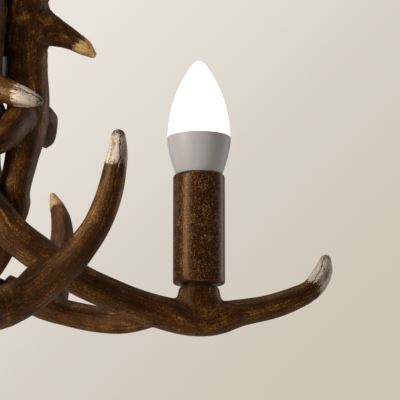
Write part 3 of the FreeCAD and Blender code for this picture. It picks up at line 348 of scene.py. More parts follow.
@dataclass(frozen=True)
class AntlerResin(Finish):
    """Cast polyester resin in the colours of shed antler.

    It is stained dark brown in the furrows and warm brown on the ridges, stippled and rubbed with
    gilt wax, and sealed with a satin varnish, so its highlights are soft and golden. The tine tips
    are rubbed pale down to the bone-coloured resin, with the dark line of a drying crack.
    """

    name: str = "antler_painted_cast_resin"
    deep: str = "#1b0b02"
    body: str = "#42230a"
    ridge: str = "#6f471b"
    gilt: str = "#b78b50"
    tip_gold: str = "#e3b678"
    tip_tan: str = "#bb9870"
    tip_cream: str = "#d5cdc2"
    bruise: str = "#6a4a2c"
    crack: str = "#1f130a"
    sheen: str = "#f2c78f"
    patch: float = 9.0  # mm
    speck: float = 0.85  # mm
    furrow: float = 0.8  # mm between the finest grooves
    furrow_length: float = 30.0  # mm
    streak: float = 4.5  # mm
    streak_length: float = 45.0  # mm

    def sockets(self, node: NodeMaker, place: bpy.types.NodeSocket) -> dict[str, object]:
        """Brown stain, pale tips and cracks. Its meshes carry the four attributes read first."""
        names = ("grain", "tip", "relief", "crack")
        grain, tip, relief, crack = (node("Attribute", settings={"attribute_name": name}) for name in names)
        grain, relief, crack = grain.outputs["Vector"], relief.outputs["Fac"], crack.outputs["Fac"]
        pale, from_tip, tone = node("SeparateXYZ", {0: tip.outputs["Vector"]}).outputs
        along, across, beside = node("SeparateXYZ", {0: grain}).outputs

        # Fine grooves and broad streaks run along each branch, stipple and patches lie over both.
        fine = (1 / self.furrow_length, 1 / self.furrow, 1 / self.furrow)
        fine_place = node("VectorMath", {0: grain, 1: fine}, MULTIPLY)
        grooves = node("TexNoise", {"Vector": fine_place, "Scale": 1.0, "Detail": 3.0})
        broad = (1 / self.streak_length, 1 / self.streak, 1 / self.streak)
        broad_place = node("VectorMath", {0: grain, 1: broad}, MULTIPLY)
        streaks = node("TexNoise", {"Vector": broad_place, "Scale": 1.0, "Detail": 2.0})
        patches = node("TexNoise", {"Vector": place, "Scale": pattern_scale(self.patch), "Detail": 3.0})
        stipple = {"Vector": place, "Scale": pattern_scale(self.speck), "Detail": 2.5, "Roughness": 0.62}
        specks = node("TexNoise", stipple)
        shade = -0.40
        weights = ((grooves, 0.42), (streaks, 0.38), (patches, 0.34), (specks, 0.66), (relief, 0.07))
        for pattern, weight in weights:
            shade = node("Math", {0: pattern, 1: weight, 2: shade}, MULTIPLY_ADD)
        browns = ((0.34, self.deep), (0.50, self.body), (0.62, self.ridge), (0.76, self.gilt))
        tint = node("ValToRGB", {0: shade}, stops=browns)

        # Pale tips: a ragged brown edge, streaks and brown bruises in the bone colour.
        bones = ((0.0, self.tip_gold), (0.5, self.tip_tan), (1.0, self.tip_cream))
        bone = node("ValToRGB", {0: tone}, stops=bones)
        stained = node("Math", {0: specks, 1: 0.55, 2: streaks}, MULTIPLY_ADD)
        stained = node("MapRange", {0: stained, 1: 0.80, 2: 0.62, 3: 0.0, 4: 0.75}, SMOOTH_STEP)
        bone = node("Mix", {0: stained, 6: bone, 7: linear(self.bruise)}, MIX_COLOURS).outputs[2]
        line_shade = node("MapRange", {0: grooves, 1: 0.34, 2: 0.56, 3: 0.62, 4: 1.0}, SMOOTH_STEP)
        darkened = MIX_COLOURS | {"blend_type": "MULTIPLY"}
        bone = node("Mix", {0: 1.0, 6: bone, 7: line_shade}, darkened).outputs[2]
        ragged = pale
        for pattern, weight in ((grooves, 8.0), (specks, 9.0), (streaks, 9.0)):
            ragged = node("Math", {0: pattern, 1: weight, 2: ragged}, MULTIPLY_ADD)
        rubbed = node("MapRange", {0: ragged, 1: 12.6, 2: 15.6}, SMOOTH_STEP)
        tint = node("Mix", {0: rubbed, 6: tint, 7: bone}, MIX_COLOURS).outputs[2]

        # Drying crack: a wandering thin line on one side, widening and closing along its way.
        wander = node("TexNoise", {"W": along, "Scale": 0.16, "Detail": 4.0}, {"noise_dimensions": "1D"})
        middle = node("Math", {0: wander, 1: 3.0, 2: -1.5}, MULTIPLY_ADD)
        offset = node("Math", {0: beside, 1: middle}, {"operation": "SUBTRACT"})
        distance = node("Math", {0: offset}, {"operation": "ABSOLUTE"})
        distance = node("Math", {0: specks, 1: -1.5, 2: distance}, MULTIPLY_ADD)
        split = node("MapRange", {0: distance, 1: -0.62, 2: -0.32, 3: 1.0, 4: 0.0}, SMOOTH_STEP)
        facing = node("MapRange", {0: across, 1: 0.0, 2: 1.0}, SMOOTH_STEP)
        split = node("Math", {0: split, 1: facing}, MULTIPLY)
        # Its pit at the very tip, broken up by the stipple.
        pit = node("MapRange", {0: from_tip, 1: 1.2, 2: 4.4, 3: 1.0, 4: 0.0}, SMOOTH_STEP)
        pitted = node("MapRange", {0: specks, 1: 0.44, 2: 0.54}, SMOOTH_STEP)
        pit = node("Math", {0: pit, 1: pitted}, MULTIPLY)
        dark = node("Math", {0: split, 1: pit}, MAXIMUM)
        dark = node("Math", {0: dark, 1: crack}, MULTIPLY)
        tint = node("Mix", {0: dark, 6: tint, 7: linear(self.crack)}, MIX_COLOURS).outputs[2]

        height = node("Math", {0: specks, 1: 0.45, 2: grooves}, MULTIPLY_ADD)
        height = node("Math", {0: dark, 1: -0.8, 2: height}, MULTIPLY_ADD)
        return {
            "Base Color": tint,
            "Roughness": node("Math", {0: specks, 1: -0.30, 2: 0.60}, MULTIPLY_ADD),
            "Normal": node("Bump", {"Height": height, "Strength": 0.6, "Distance": 0.4 * MM}),
            "Specular IOR Level": 0.45,
            "Specular Tint": linear(self.sheen),
        }


@dataclass(frozen=True)
class SpeckledResin(Finish):
    """Turned resin candle tube, dark red-brown, stippled with gold paint under a satin varnish."""

    name: str = "sleeve_speckled_resin"
    deep: str = "#1a0902"
    body: str = "#3b1d0a"
    fleck: str = "#6b4520"
    gold: str = "#b48a52"
    sheen: str = "#f6c48a"
    fleck_size: float = 0.64  # mm, drawn coarse enough to show
    cloud: float = 7.0  # mm

    def sockets(self, node: NodeMaker, place: bpy.types.NodeSocket) -> dict[str, object]:
        """Gold flecks, drawn out upright, over clouds of brown."""
        drawn = node("Mapping", {"Vector": place, "Scale": (1.0, 1.0, 0.7)})
        stipple = {"Vector": drawn, "Scale": pattern_scale(self.fleck_size), "Detail": 2.5, "Roughness": 0.62}
        flecks = node("TexNoise", stipple)
        cloud = node("TexNoise", {"Vector": place, "Scale": pattern_scale(self.cloud), "Detail": 3.0})
        shade = node("Math", {0: cloud, 1: 0.22, 2: -0.11}, MULTIPLY_ADD)
        shade = node("Math", {0: shade, 1: flecks}, {"operation": "ADD"})
        browns = ((0.41, self.deep), (0.52, self.body), (0.59, self.fleck), (0.71, self.gold))
        return {
            "Base Color": node("ValToRGB", {0: shade}, stops=browns),
            "Roughness": node("Math", {0: flecks, 1: 0.30, 2: 0.18}, MULTIPLY_ADD),
            "Normal": node("Bump", {"Height": flecks, "Strength": 0.35, "Distance": 0.25 * MM}),
            "Specular IOR Level": 0.6,
            "Specular Tint": linear(self.sheen),
        }


@dataclass(frozen=True)
class LitOpal(Finish):
    """Opal polycarbonate globe of a lit lamp: an even white glow, a little warmer at its rim."""

    name: str = "globe_opal_polycarbonate"
    unlit: str = "#f2efe9"
    glow: str = "#fffaf2"
    rim_glow: str = "#ffc98f"
    rim_height: float = 0.0  # mm in the model's frame
    rim_band: float = 1.1  # mm
    cloud: float = 6.0  # mm
    strength: float = 1.35

    def sockets(self, node: NodeMaker, place: bpy.types.NodeSocket) -> dict[str, object]:
        """A glow whose colour follows the height on the globe."""
        height = node("SeparateXYZ", {0: place}).outputs[2]
        cloud = node("TexNoise", {"Vector": place, "Scale": pattern_scale(self.cloud)})
        low, high = self.rim_height * MM, (self.rim_height + self.rim_band) * MM
        share = node("MapRange", {0: height, 1: low, 2: high}, SMOOTH_STEP)
        share = node("Math", {0: cloud, 1: 0.04, 2: share}, MULTIPLY_ADD)
        return {
            "Base Color": linear(self.unlit),
            "Roughness": 0.35,
            "Emission Color": node("ValToRGB", {0: share}, stops=((0.0, self.rim_glow), (1.0, self.glow))),
            "Emission Strength": self.strength,
        }


@dataclass(frozen=True)
class Moulded(Finish):
    """Injection-moulded plastic: nearly even in colour, a faint spark-eroded grain on its face."""

    colour: str
    shade: str
    roughness: float = 0.38
    cloud: float = 14.0  # mm
    grain: float = 0.5  # mm, drawn coarser than a mould's grain so that it shows
    bump: float = 0.08

    def sockets(self, node: NodeMaker, place: bpy.types.NodeSocket) -> dict[str, object]:
        """Broad clouds in the colour and the shine, fine grain in the bump."""
        cloud = node("TexNoise", {"Vector": place, "Scale": pattern_scale(self.cloud), "Detail": 3.0})
        grain = node("TexNoise", {"Vector": place, "Scale": pattern_scale(self.grain), "Detail": 2.0})
        return {
            "Base Color": node("ValToRGB", {0: cloud}, stops=((0.3, self.shade), (0.6, self.colour))),
            "Roughness": node("Math", {0: cloud, 1: 0.08, 2: self.roughness - 0.04}, MULTIPLY_ADD),
            "Normal": node("Bump", {"Height": grain, "Strength": self.bump, "Distance": 0.1 * MM}),
        }


@dataclass(frozen=True)
class Metal(Finish):
    """Sheet, wire or bar metal with the fine marks of its making and patches of tarnish."""

    colour: str
    worn: str
    roughness: float = 0.35
    marks: float = 0.4  # mm
    drawn: Place = (1.0, 1.0, 0.15)
    metallic: float = 1.0
    cloud: float = 8.0  # mm

    def sockets(self, node: NodeMaker, place: bpy.types.NodeSocket) -> dict[str, object]:
        """Marks drawn out one way, over clouds of tarnish."""
        long = node("Mapping", {"Vector": place, "Scale": self.drawn})
        marks = node("TexNoise", {"Vector": long, "Scale": pattern_scale(self.marks), "Detail": 2.0})
        cloud = node("TexNoise", {"Vector": place, "Scale": pattern_scale(self.cloud), "Detail": 5.0})
        share = node("Math", {0: marks, 1: 0.3, 2: cloud}, MULTIPLY_ADD)
        return {
            "Base Color": node("ValToRGB", {0: share}, stops=((0.5, self.colour), (0.85, self.worn))),
            "Metallic": self.metallic,
            "Roughness": node("Math", {0: cloud, 1: 0.25, 2: self.roughness - 0.12}, MULTIPLY_ADD),
            "Normal": node("Bump", {"Height": marks, "Strength": 0.15, "Distance": 0.08 * MM}),
        }


class FinishName(Enum):
    """The chandelier's finishes, by the record's material slot that each one stands for."""

    ANTLER = "antler_resin"
    SLEEVE = "candle_resin"
    GLOBE = "bulb_glow"
    HOUSING = "bulb_plastic"
    CAP = "cap_nickel"
    CONTACT = "contact_brass"
    HOLDER = "holder_plastic"
    BRONZE = "dark_bronze"
    STEEL = "zinc_steel"
    BLOCK = "block_plastic"
    LEAD = "lead_insulation"
    BOARD = "board_white"


class Palette:
    """Makes each finish once and hands it out by name."""

    def __init__(self, globe_rim: float) -> None:
        """Make the finishes.

        Args:
            globe_rim: height of the globes' rims in the model's frame, in mm.
        """
        self.materials = {
            FinishName.ANTLER: AntlerResin().build(),
            FinishName.SLEEVE: SpeckledResin().build(),
            FinishName.GLOBE: LitOpal(rim_height=globe_rim).build(),
            # PBT lamp housing: matt, greyish white.
            FinishName.HOUSING: Moulded("housing_white_pbt", "#cbc8ca", "#c4c1c3", 0.45).build(),
            # Nickel-plated brass: a soft, slightly warm mirror.
            FinishName.CAP: Metal("cap_nickel_plate", "#b9b5ab", "#d2cec4", 0.25, drawn=(1, 1, 1)).build(),
            # Bare stamped brass contacts, dulled by handling.
            FinishName.CONTACT: Metal("contact_stamped_brass", "#a8813c", "#d1ae68", 0.32).build(),
            # Phenolic holder: hard black plastic with a low shine.
            FinishName.HOLDER: Moulded("holder_black_phenolic", "#1d1a18", "#15120f", 0.35).build(),
            # Steel with a dark bronze powder coat, rubbed brighter in patches.
            FinishName.BRONZE: Metal(
                "dark_bronze_powder_coat", "#2a1c12", "#4a3422", 0.42, 0.7, (1, 1, 1), 0.55
            ).build(),
            # Zinc-plated steel screws, tube and bracket.
            FinishName.STEEL: Metal("steel_zinc_plate", "#9aa0a3", "#c3c8ca", 0.36).build(),
            # Polyamide terminal block, natural colour.
            FinishName.BLOCK: Moulded("block_natural_polyamide", "#ded8c8", "#d0c9b8", 0.5).build(),
            # Brown PVC insulation, extruded smooth.
            FinishName.LEAD: Moulded("lead_brown_pvc", "#4a3120", "#3e2819", 0.45).build(),
            # White solder mask over glass fibre.
            FinishName.BOARD: Moulded("board_white_solder_mask", "#e4e6e0", "#d6d9d2", 0.4).build(),
        }

    def dress(self, piece: bpy.types.Object, finish: FinishName) -> None:
        """Give a piece one finish."""
        piece.data.materials.clear()
        piece.data.materials.append(self.materials[finish])


# ---- antlers ----------------------------------------------------------------------------------
@dataclass(frozen=True)
class PaleTip:
    """Worn end of a tine: how long it is pale, its tone, and where a drying crack runs."""

    length: float  # mm
    tone: float  # 0 gold, 0.5 tan, 1 cream
    cracked: float = 0.0  # 0 sound, 1 cracked
    crack_side: Place = (0.0, -1.0, 0.0)


ROUNDING = (0.45, 0.9, 1.3)  # radians up a tip's half sphere


@dataclass(frozen=True)
class Branch:
    """One branch of an antler, as round sections along a smooth line, in mm above the lamp plane."""

    stations: tuple[Station, ...]
    tip: PaleTip | None = None
    rounded: bool = False
    vertical_start: bool = False

    def run(self, step: float) -> list[Ring]:
        """Rings at even steps along the branch.

        Args:
            step: the longest step, in mm.

        Returns:
            The rings, each square to the branch's line.
        """
        table = np.array(self.stations)
        marks = np.concatenate([[0.0], np.cumsum(np.linalg.norm(np.diff(table[:, :3], axis=0), axis=1))])
        slopes = np.empty_like(table)
        for index in range(len(table)):
            low, high = max(index - 1, 0), min(index + 1, len(table) - 1)
            slopes[index] = (table[high] - table[low]) / (marks[high] - marks[low])
        count = max(4, math.ceil(marks[-1] / step))
        values = []
        for mark in np.linspace(0.0, marks[-1], count + 1):
            span = min(int(np.searchsorted(marks, mark, side="right")) - 1, len(table) - 2)
            width = marks[span + 1] - marks[span]
            t = (mark - marks[span]) / width
            start, end = table[span], table[span + 1]
            first, last = slopes[span] * width, slopes[span + 1] * width
            square = 3 * (end - start) - 2 * first - last
            cube = first + last - 2 * (end - start)
            values.append(start + t * first + t**2 * square + t**3 * cube)
        rings = []
        for index, value in enumerate(values):
            ahead = Vector(values[min(index + 1, count)][:3]) - Vector(values[max(index - 1, 0)][:3])
            if index == 0 and self.vertical_start:
                ahead = -UP
            rings.append(Ring(Vector(value[:3]), float(value[3]), ahead.normalized()))
        return rings

    def model(self, name: str, step: float, corners: int) -> bpy.types.Object:
        """Grow the branch as a closed bar, its tip rounded off."""
        rings = self.run(step)
        tool = RingTool(name, rings[0], corners, capped=True)
        for ring in rings[1:]:
            tool.grow(ring)
        if self.rounded:
            end = rings[-1]
            for angle in ROUNDING:
                centre = end.centre + end.along * end.radius * math.sin(angle)
                tool.grow(Ring(centre, end.radius * math.cos(angle), end.along))
        return tool.finish()


@dataclass
class AntlerPlan:
    """The sizes that the six antlers share, in mm; heights are above the lamp plane."""

    lamp_radius: float = 118.0
    tip_reach: float = 73.8
    tip_rise: float = 17.6
    burr_height: float = 192.0
    crossing_height: float = 38.5
    trunk_radius: float = 13.2
    trunk_gap: float = 1.8
    beam_radius: float = 8.9
    beam_gap: float = 0.5
    arm_radius: float = 9.7
    arm_depth: float = 19.2
    tine_tip_radius: float = 1.6
    cross_radius: float = 8.3
    cross_tine_height: float = 70.0
    front_girth: float = 1.3
    seat_thickness: float = 1.6
    boss_top_radius: float = 11.4
    boss_foot_radius: float = 13.2

    def __post_init__(self) -> None:
        """Work out how far neighbours stand from the axis."""
        factor = 1.0 / math.sin(math.pi / LAMP_COUNT)
        self.trunk_offset = (self.trunk_radius + self.trunk_gap / 2) * factor
        self.beam_offset = (self.beam_radius + self.beam_gap / 2) * factor

    def beside_trunk(self, out: float, side: float, height: float, radius: float) -> Station:
        """A station by the trunk, out from the axis and side from the trunk's azimuth."""
        x = out * math.cos(-TURN) - side * math.sin(-TURN)
        y = out * math.sin(-TURN) + side * math.cos(-TURN)
        return (x, y, height, radius)

    def arm_place(self, share: float) -> float:
        """Distance from the axis along the arm: 0 at the crossing, 1 at the lamp."""
        return self.beam_offset * 0.85 + share * (self.lamp_radius - self.beam_offset * 0.85)

    def main_beam(self) -> Branch:
        """Burr, trunk, beam past the axis, arm under the lamp and the worn end tine."""
        beside = self.beside_trunk
        top, trunk, offset = self.burr_height, self.trunk_radius, self.trunk_offset
        beam, width, cross = self.beam_offset, self.beam_radius, self.crossing_height
        lamp, arm, deep, reach = self.lamp_radius, self.arm_radius, -self.arm_depth, self.tip_reach
        stations = (
            beside(offset, 0, top, trunk),
            beside(offset, 0, top - 5, trunk * 1.03),
            beside(offset, 0, top - 12, trunk * 0.97),
            beside(offset, 0, top - 31, trunk),
            beside(offset * 1.02, 0, top - 47, trunk * 0.97),
            beside(offset * 1.08, 0, top - 68, trunk * 0.88),
            beside(offset * 1.13, 0, top - 86, trunk * 0.93),
            beside(offset * 1.11, -1.0, top - 101, trunk * 0.87),
            beside(beam * 1.42, -1.5, cross + 32.5, width * 1.05),
            beside(beam * 1.06, -2.8, cross + 13.0, width),
            (-beam * 0.36, -beam * 1.10, cross + 6.5, width * 0.98),
            (beam * 0.12, -beam * 1.08, cross, width * 1.01),
            (beam * 0.88, -beam * 1.10, cross - 11.0, width * 1.08),
            (self.arm_place(0.096), -beam * 1.07, cross - 19.5, arm * 1.02),
            (self.arm_place(0.232), -beam * 1.05, cross - 29.7, arm * 0.99),
            (self.arm_place(0.395), -9.0, deep + 18.0, arm * 0.93),
            (self.arm_place(0.606), -6.0, deep + 8.6, arm * 0.92),
            (lamp - 22, -2.0, deep + 2.4, arm * 0.95),
            (lamp - 6, 0, deep, arm * 1.06),
            (lamp + 4, 0, deep - 0.3, arm * 1.08),
            (lamp + 13, 0, deep + 0.4, arm * 0.95),
            (lamp + 24, 0, deep + 3.1, arm * 0.78),
            (lamp + reach * 0.57, 0, deep + 7.2, arm * 0.72),
            (lamp + reach * 0.77, 0, deep + 12.6, arm * 0.66),
            (lamp + reach * 0.895, 0, self.tip_rise - 18.8, arm * 0.59),
            (lamp + reach * 0.97, 0, self.tip_rise - 10.6, arm * 0.53),
            (lamp + reach, 0, self.tip_rise - 4.6, arm * 0.41),
            (lamp + reach * 1.002, 0, self.tip_rise - 2.2, self.tine_tip_radius * 1.75),
        )
        tip = PaleTip(length=21.0, tone=1.0, cracked=0.75, crack_side=(-0.5, -1.0, 0.6))
        return Branch(stations, tip, rounded=True, vertical_start=True)

    def brow_tine(self) -> Branch:
        """Short tine that leaves the trunk outwards below the burr."""
        beside = self.beside_trunk
        top, trunk, offset = self.burr_height, self.trunk_radius, self.trunk_offset
        stations = (
            beside(offset, 0, top - 35.5, trunk * 0.82),
            beside(offset + 9.0, 0, top - 40.8, trunk * 0.78),
            beside(offset + 17.0, 0, top - 44.5, trunk * 0.64),
            beside(offset + 25.0, 0, top - 47.8, trunk * 0.48),
            beside(offset + 33.0, 0, top - 52.3, trunk * 0.36),
            beside(offset + 36.4, 0, top - 54.6, trunk * 0.29),
            beside(offset + 39.0, 0, top - 57.0, self.tine_tip_radius * 1.3),
        )
        return Branch(stations, PaleTip(length=13.0, tone=0.0), rounded=True)

    def guard_tine(self, shift: float, drop: float, worn: bool) -> Branch:
        """Tine that curls round the outside of the next trunk, its end worn pale or left brown."""
        beside = self.beside_trunk
        top, trunk, offset = self.burr_height - drop, self.trunk_radius, self.trunk_offset
        stations = (
            beside(offset * 0.90, 8.0, top - 85.0, trunk * 0.64),
            beside(offset + 8.3 + shift, 17.4, top - 86.8, trunk * 0.55),
            beside(offset + 9.8 + shift, 24.8, top - 90.6, trunk * 0.49),
            beside(offset + 10.5 + shift, 31.5, top - 93.3, trunk * 0.41),
            beside(offset + 10.6 + shift, 37.8, top - 95.6, trunk * 0.32),
            beside(offset + 10.3 + shift, 42.4, top - 97.1, self.tine_tip_radius * 1.5),
        )
        tip = PaleTip(length=17.0, tone=0.9, cracked=1.0, crack_side=(0.0, -1.0, 0.55))
        return Branch(stations, tip if worn else None, rounded=True)

    def spur(self, count: int) -> Branch:
        """Blunt stub that leans across towards the trunk before, of the first count stations."""
        beside = self.beside_trunk
        top, trunk, offset = self.burr_height, self.trunk_radius, self.trunk_offset
        stations = (
            beside(offset * 0.97, -3.0, top - 93.5, trunk * 0.70),
            beside(offset * 0.77, -14.0, top - 101.0, trunk * 0.65),
            beside(offset * 0.53, -24.5, top - 109.5, trunk * 0.61),
            beside(offset * 0.16, -31.0, top - 116.0, trunk * 0.60),
            beside(-offset * 0.20, -35.0, top - 121.0, trunk * 0.52),
        )
        return Branch(stations[:count], rounded=True)

    def boss(self) -> Branch:
        """Turned foot on the arm that the candle sleeve stands on."""
        lamp, top, narrow = self.lamp_radius, -self.seat_thickness, self.boss_top_radius
        wide, core = self.boss_foot_radius, -self.arm_depth
        stations = (
            (lamp, 0, core - 1.0, self.arm_radius * 0.8),
            (lamp, 0, core + 4.0, wide * 0.92),
            (lamp, 0, core + 8.5, wide * 0.98),
            (lamp, 0, top - 4.5, (wide + narrow) / 2),
            (lamp, 0, top - 1.0, narrow),
            (lamp, 0, top, narrow - 0.2),
        )
        return Branch(stations)

    def station_at(self, share_x: float, share_y: float, height: float, radius: float) -> Station:
        """A cross antler's station, its place in shares of the lamp radius."""
        return (self.lamp_radius * share_x, self.lamp_radius * share_y, height, radius)

    def cross_base(self) -> Station:
        """Where a cross antler's base ends behind its lamp antler's arm."""
        behind = self.arm_radius * 0.94 + 2.9
        return (self.lamp_radius - 22.0, behind, -self.arm_depth + 1.8, self.cross_radius * 0.56)

    def cross_spur_end(self) -> Station:
        """Where a cross antler's spur ends, short of the next lamp antler's beam."""
        return self.station_at(0.0644, 0.3195, self.crossing_height - 34.9, self.cross_radius * 0.76)

    def rear_cross(self) -> list[Branch]:
        """Beam under the arm, tine that rises behind it, and the spur to the next antler."""
        at = self.station_at
        deep, wide, tall = -self.arm_depth, self.cross_radius, self.cross_tine_height
        fork = at(0.322, 0.262, deep + 7.0, wide * 0.94)
        beam = (
            self.cross_base(),
            (self.lamp_radius - 33, 16.0, deep + 0.7, wide * 0.80),
            at(0.631, 0.170, deep - 0.3, wide * 0.85),
            at(0.542, 0.212, deep + 1.0, wide * 0.89),
            at(0.430, 0.246, deep + 3.9, wide * 0.91),
            fork,
        )
        tine = (
            at(0.322, 0.262, deep + 7.5, wide * 0.70),
            at(0.314, 0.356, deep + 18.2, wide * 0.92),
            at(0.330, 0.492, tall - 53.0, wide * 0.92),
            at(0.356, 0.627, tall - 34.0, wide * 0.86),
            at(0.352, 0.720, tall - 19.0, wide * 0.73),
            at(0.330, 0.784, tall - 8.5, wide * 0.47),
            at(0.309, 0.816, tall - 1.2, self.tine_tip_radius),
        )
        inner = (
            fork,
            at(0.240, 0.281, deep + 10.2, wide * 0.92),
            at(0.150, 0.301, self.crossing_height - 40.7, wide * 0.84),
            self.cross_spur_end(),
        )
        tip = PaleTip(length=13.5, tone=0.5)
        return [Branch(beam), Branch(tine, tip, rounded=True), Branch(inner)]

    def front_cross(self) -> list[Branch]:
        """Stouter cross antler that lies lower, its fork swept into a long tall tine."""
        at = self.station_at
        deep, wide, tall = -self.arm_depth, self.cross_radius * self.front_girth, self.cross_tine_height
        fork = at(0.322, 0.234, deep - 2.4, wide * 1.06)
        beam = (
            self.cross_base(),
            (self.lamp_radius - 33, 17.0, deep - 3.0, wide * 0.65),
            at(0.593, 0.186, deep - 6.3, wide * 0.80),
            at(0.449, 0.209, deep - 5.6, wide * 0.95),
            fork,
        )
        tine = (
            fork,
            at(0.303, 0.340, deep + 3.2, wide * 1.01),
            at(0.306, 0.434, tall - 79.8, wide * 0.91),
            at(0.304, 0.526, tall - 72.3, wide * 0.84),
            at(0.302, 0.592, tall - 66.2, wide * 0.78),
            at(0.298, 0.651, tall - 58.5, wide * 0.71),
            at(0.291, 0.700, tall - 50.3, wide * 0.67),
            at(0.283, 0.740, tall - 39.9, wide * 0.65),
            at(0.279, 0.772, tall - 27.6, wide * 0.61),
            at(0.281, 0.792, tall - 16.8, wide * 0.54),
            at(0.284, 0.806, tall - 8.8, wide * 0.45),
            at(0.294, 0.812, tall - 1.8, wide * 0.33),
        )
        inner = (
            at(0.316, 0.258, deep - 1.2, wide * 0.60),
            at(0.222, 0.302, deep + 7.6, wide * 0.76),
            at(0.140, 0.310, self.crossing_height - 41.0, self.cross_radius * 0.84),
            self.cross_spur_end(),
        )
        # In its own frame this antler's camera side is turned by a third of a circle.
        tip = PaleTip(length=19.0, tone=0.95, cracked=1.0, crack_side=(0.75, 0.6, 0.0))
        return [Branch(beam), Branch(tine, tip, rounded=True), Branch(inner)]


@dataclass
class Antler:
    """One antler: its branches merged into one skin, softened at the crotches and carved."""

    name: str
    branches: list[Branch]
    seed: float
    voxel: float = 0.75  # mm
    crotch_blend: float = 2.6  # mm
    lump_height: float = 0.34  # mm
    furrow_depth: float = 0.20  # mm
    furrow_sharpness: float = 4.5  # how narrow a furrow is in its pattern
    furrow_share: float = 0.65  # a furrow's depth where there is no lump
    ripple_height: float = 0.09  # mm
    polish: float = 0.85  # share of the grain that is worn off a tip
    polish_fade: float = 4.0  # mm over which that begins
    fullness: float = 0.30  # mm given back after smoothing, twice that on a tip
    pearl_height: float = 0.75  # mm
    pearl_fade: float = 1.8  # how fast full pearling is reached towards the burr
    bark_length: float = 80.6  # mm of rough bark below the burr
    lump_size: tuple[float, float] = (24.0, 11.0)  # mm along and across, as the next four
    furrow_size: tuple[float, float] = (34.0, 3.4)
    ripple_size: tuple[float, float] = (18.0, 1.9)
    pearl_size: tuple[float, float] = (4.4, 3.2)
    grit_size: tuple[float, float] = (2.2, 1.9)
    bar_step: float = 5.0  # mm between the rings of a bar
    bar_corners: int = 22
    quick_factor: float = 2.2
    frame_step: float = 1.5  # mm
    stride: int = 4  # steps between the points that are tried first
    crotch_gain: float = 2.4  # how far the smoothing reaches out of a crotch
    crotch_passes: int = 60
    skin_passes: int = 4
    has_burr: bool = False

    def build(self) -> bpy.types.Object:
        """Model the antler in its own frame, above the lamp plane."""
        bars = []
        for index, branch in enumerate(self.branches):
            bars.append(branch.model(f"bar_{index}", self.bar_step, self.bar_corners))
        pick(*bars)
        bpy.ops.object.join()
        piece = bpy.context.active_object
        piece.name = self.name
        voxel = self.voxel * 1.0
        apply_modifier(piece, "REMESH", mode="VOXEL", voxel_size=voxel * MM, use_smooth_shade=True)
        self.soften(piece)
        self.carve(piece)
        pick(piece)
        bpy.ops.object.shade_smooth()
        return piece

    def frames(self) -> list[dict[str, np.ndarray]]:
        """Each branch's centreline in close steps, with a frame that doesn't twist along it."""
        found: list[dict[str, np.ndarray]] = []
        for branch in self.branches:
            rings = branch.run(self.frame_step)
            along = np.array([ring.along for ring in rings])
            centre = np.array([ring.centre for ring in rings])
            side = np.array(branch.tip.crack_side if branch.tip else (0.3, -1.0, 0.2), float)
            sides = np.empty_like(along)
            for index in range(len(rings) - 1, -1, -1):
                side = side - along[index] * float(side @ along[index])
                side = side / np.linalg.norm(side)
                sides[index] = side
            steps = np.linalg.norm(np.diff(centre, axis=0), axis=1)
            marks = np.concatenate([[0.0], np.cumsum(steps)])
            if found:
                parent = found[0]
                near = int(np.argmin(np.linalg.norm(parent["centre"] - centre[0], axis=1)))
                marks = marks + parent["marks"][near]
            radius = np.array([ring.radius for ring in rings])
            found.append({"centre": centre, "radius": radius, "along": along, "side": sides, "marks": marks})
        return found

    def locate(self, places: np.ndarray) -> tuple[np.ndarray, np.ndarray, np.ndarray, np.ndarray]:
        """Where each point of the skin lies on the branches.

        Args:
            places: points of the skin in mm.

        Returns:
            The grain coordinates (along, across, across), each branch's share, the nearest
            branch's number, and the distance along it.
        """
        grains, gaps, marks = [], [], []
        stride = self.stride
        around = np.arange(1 - stride, stride)[None, :]
        for frame in self.frames():
            distance = np.linalg.norm(places[:, None, :] - frame["centre"][None, ::stride, :], axis=2)
            near = np.argmin(distance - frame["radius"][None, ::stride], axis=1) * stride
            window = np.clip(near[:, None] + around, 0, len(frame["marks"]) - 1)
            gap = np.linalg.norm(places[:, None, :] - frame["centre"][window], axis=2)
            gap = gap - frame["radius"][window]
            best = np.take_along_axis(window, np.argmin(gap, axis=1)[:, None], axis=1)[:, 0]
            rest = places - frame["centre"][best]
            along, side = frame["along"][best], frame["side"][best]
            other = np.cross(along, side)
            mark = frame["marks"][best] + np.einsum("ij,ij->i", rest, along)
            across = np.einsum("ij,ij->i", rest, side)
            beside = np.einsum("ij,ij->i", rest, other)
            grains.append(np.stack([mark, across, beside], axis=1))
            gaps.append(np.min(gap, axis=1))
            marks.append(mark)
        gap_table = np.stack(gaps, axis=1)
        lowest = gap_table.min(axis=1, keepdims=True)
        shares = np.exp(-(gap_table - lowest) / self.crotch_blend)
        shares = shares / shares.sum(axis=1, keepdims=True)
        grain = sum(share[:, None] * part for share, part in zip(shares.T, grains))
        nearest = np.argmin(gap_table, axis=1)
        mark = np.stack(marks, axis=1)[np.arange(len(places)), nearest]
        return grain, shares, nearest, mark

    def soften(self, piece: bpy.types.Object) -> None:
        """Smooth the skin lightly all over and strongly in the crotches."""
        mesh = piece.data
        places = np.empty(len(mesh.vertices) * 3)
        mesh.vertices.foreach_get("co", places)
        shares = self.locate(places.reshape(-1, 3) / MM)[1]
        crotch = piece.vertex_groups.new(name="crotch")
        weight = np.clip((1.0 - shares.max(axis=1)) * self.crotch_gain, 0.0, 1.0)
        least = 0.02  # a smaller weight isn't stored
        for index in np.nonzero(weight > least)[0]:
            crotch.add([int(index)], float(weight[index]), "REPLACE")
        apply_modifier(piece, "SMOOTH", factor=0.5, iterations=self.skin_passes)
        apply_modifier(piece, "SMOOTH", factor=0.5, iterations=self.crotch_passes, vertex_group="crotch")
        piece.vertex_groups.clear()

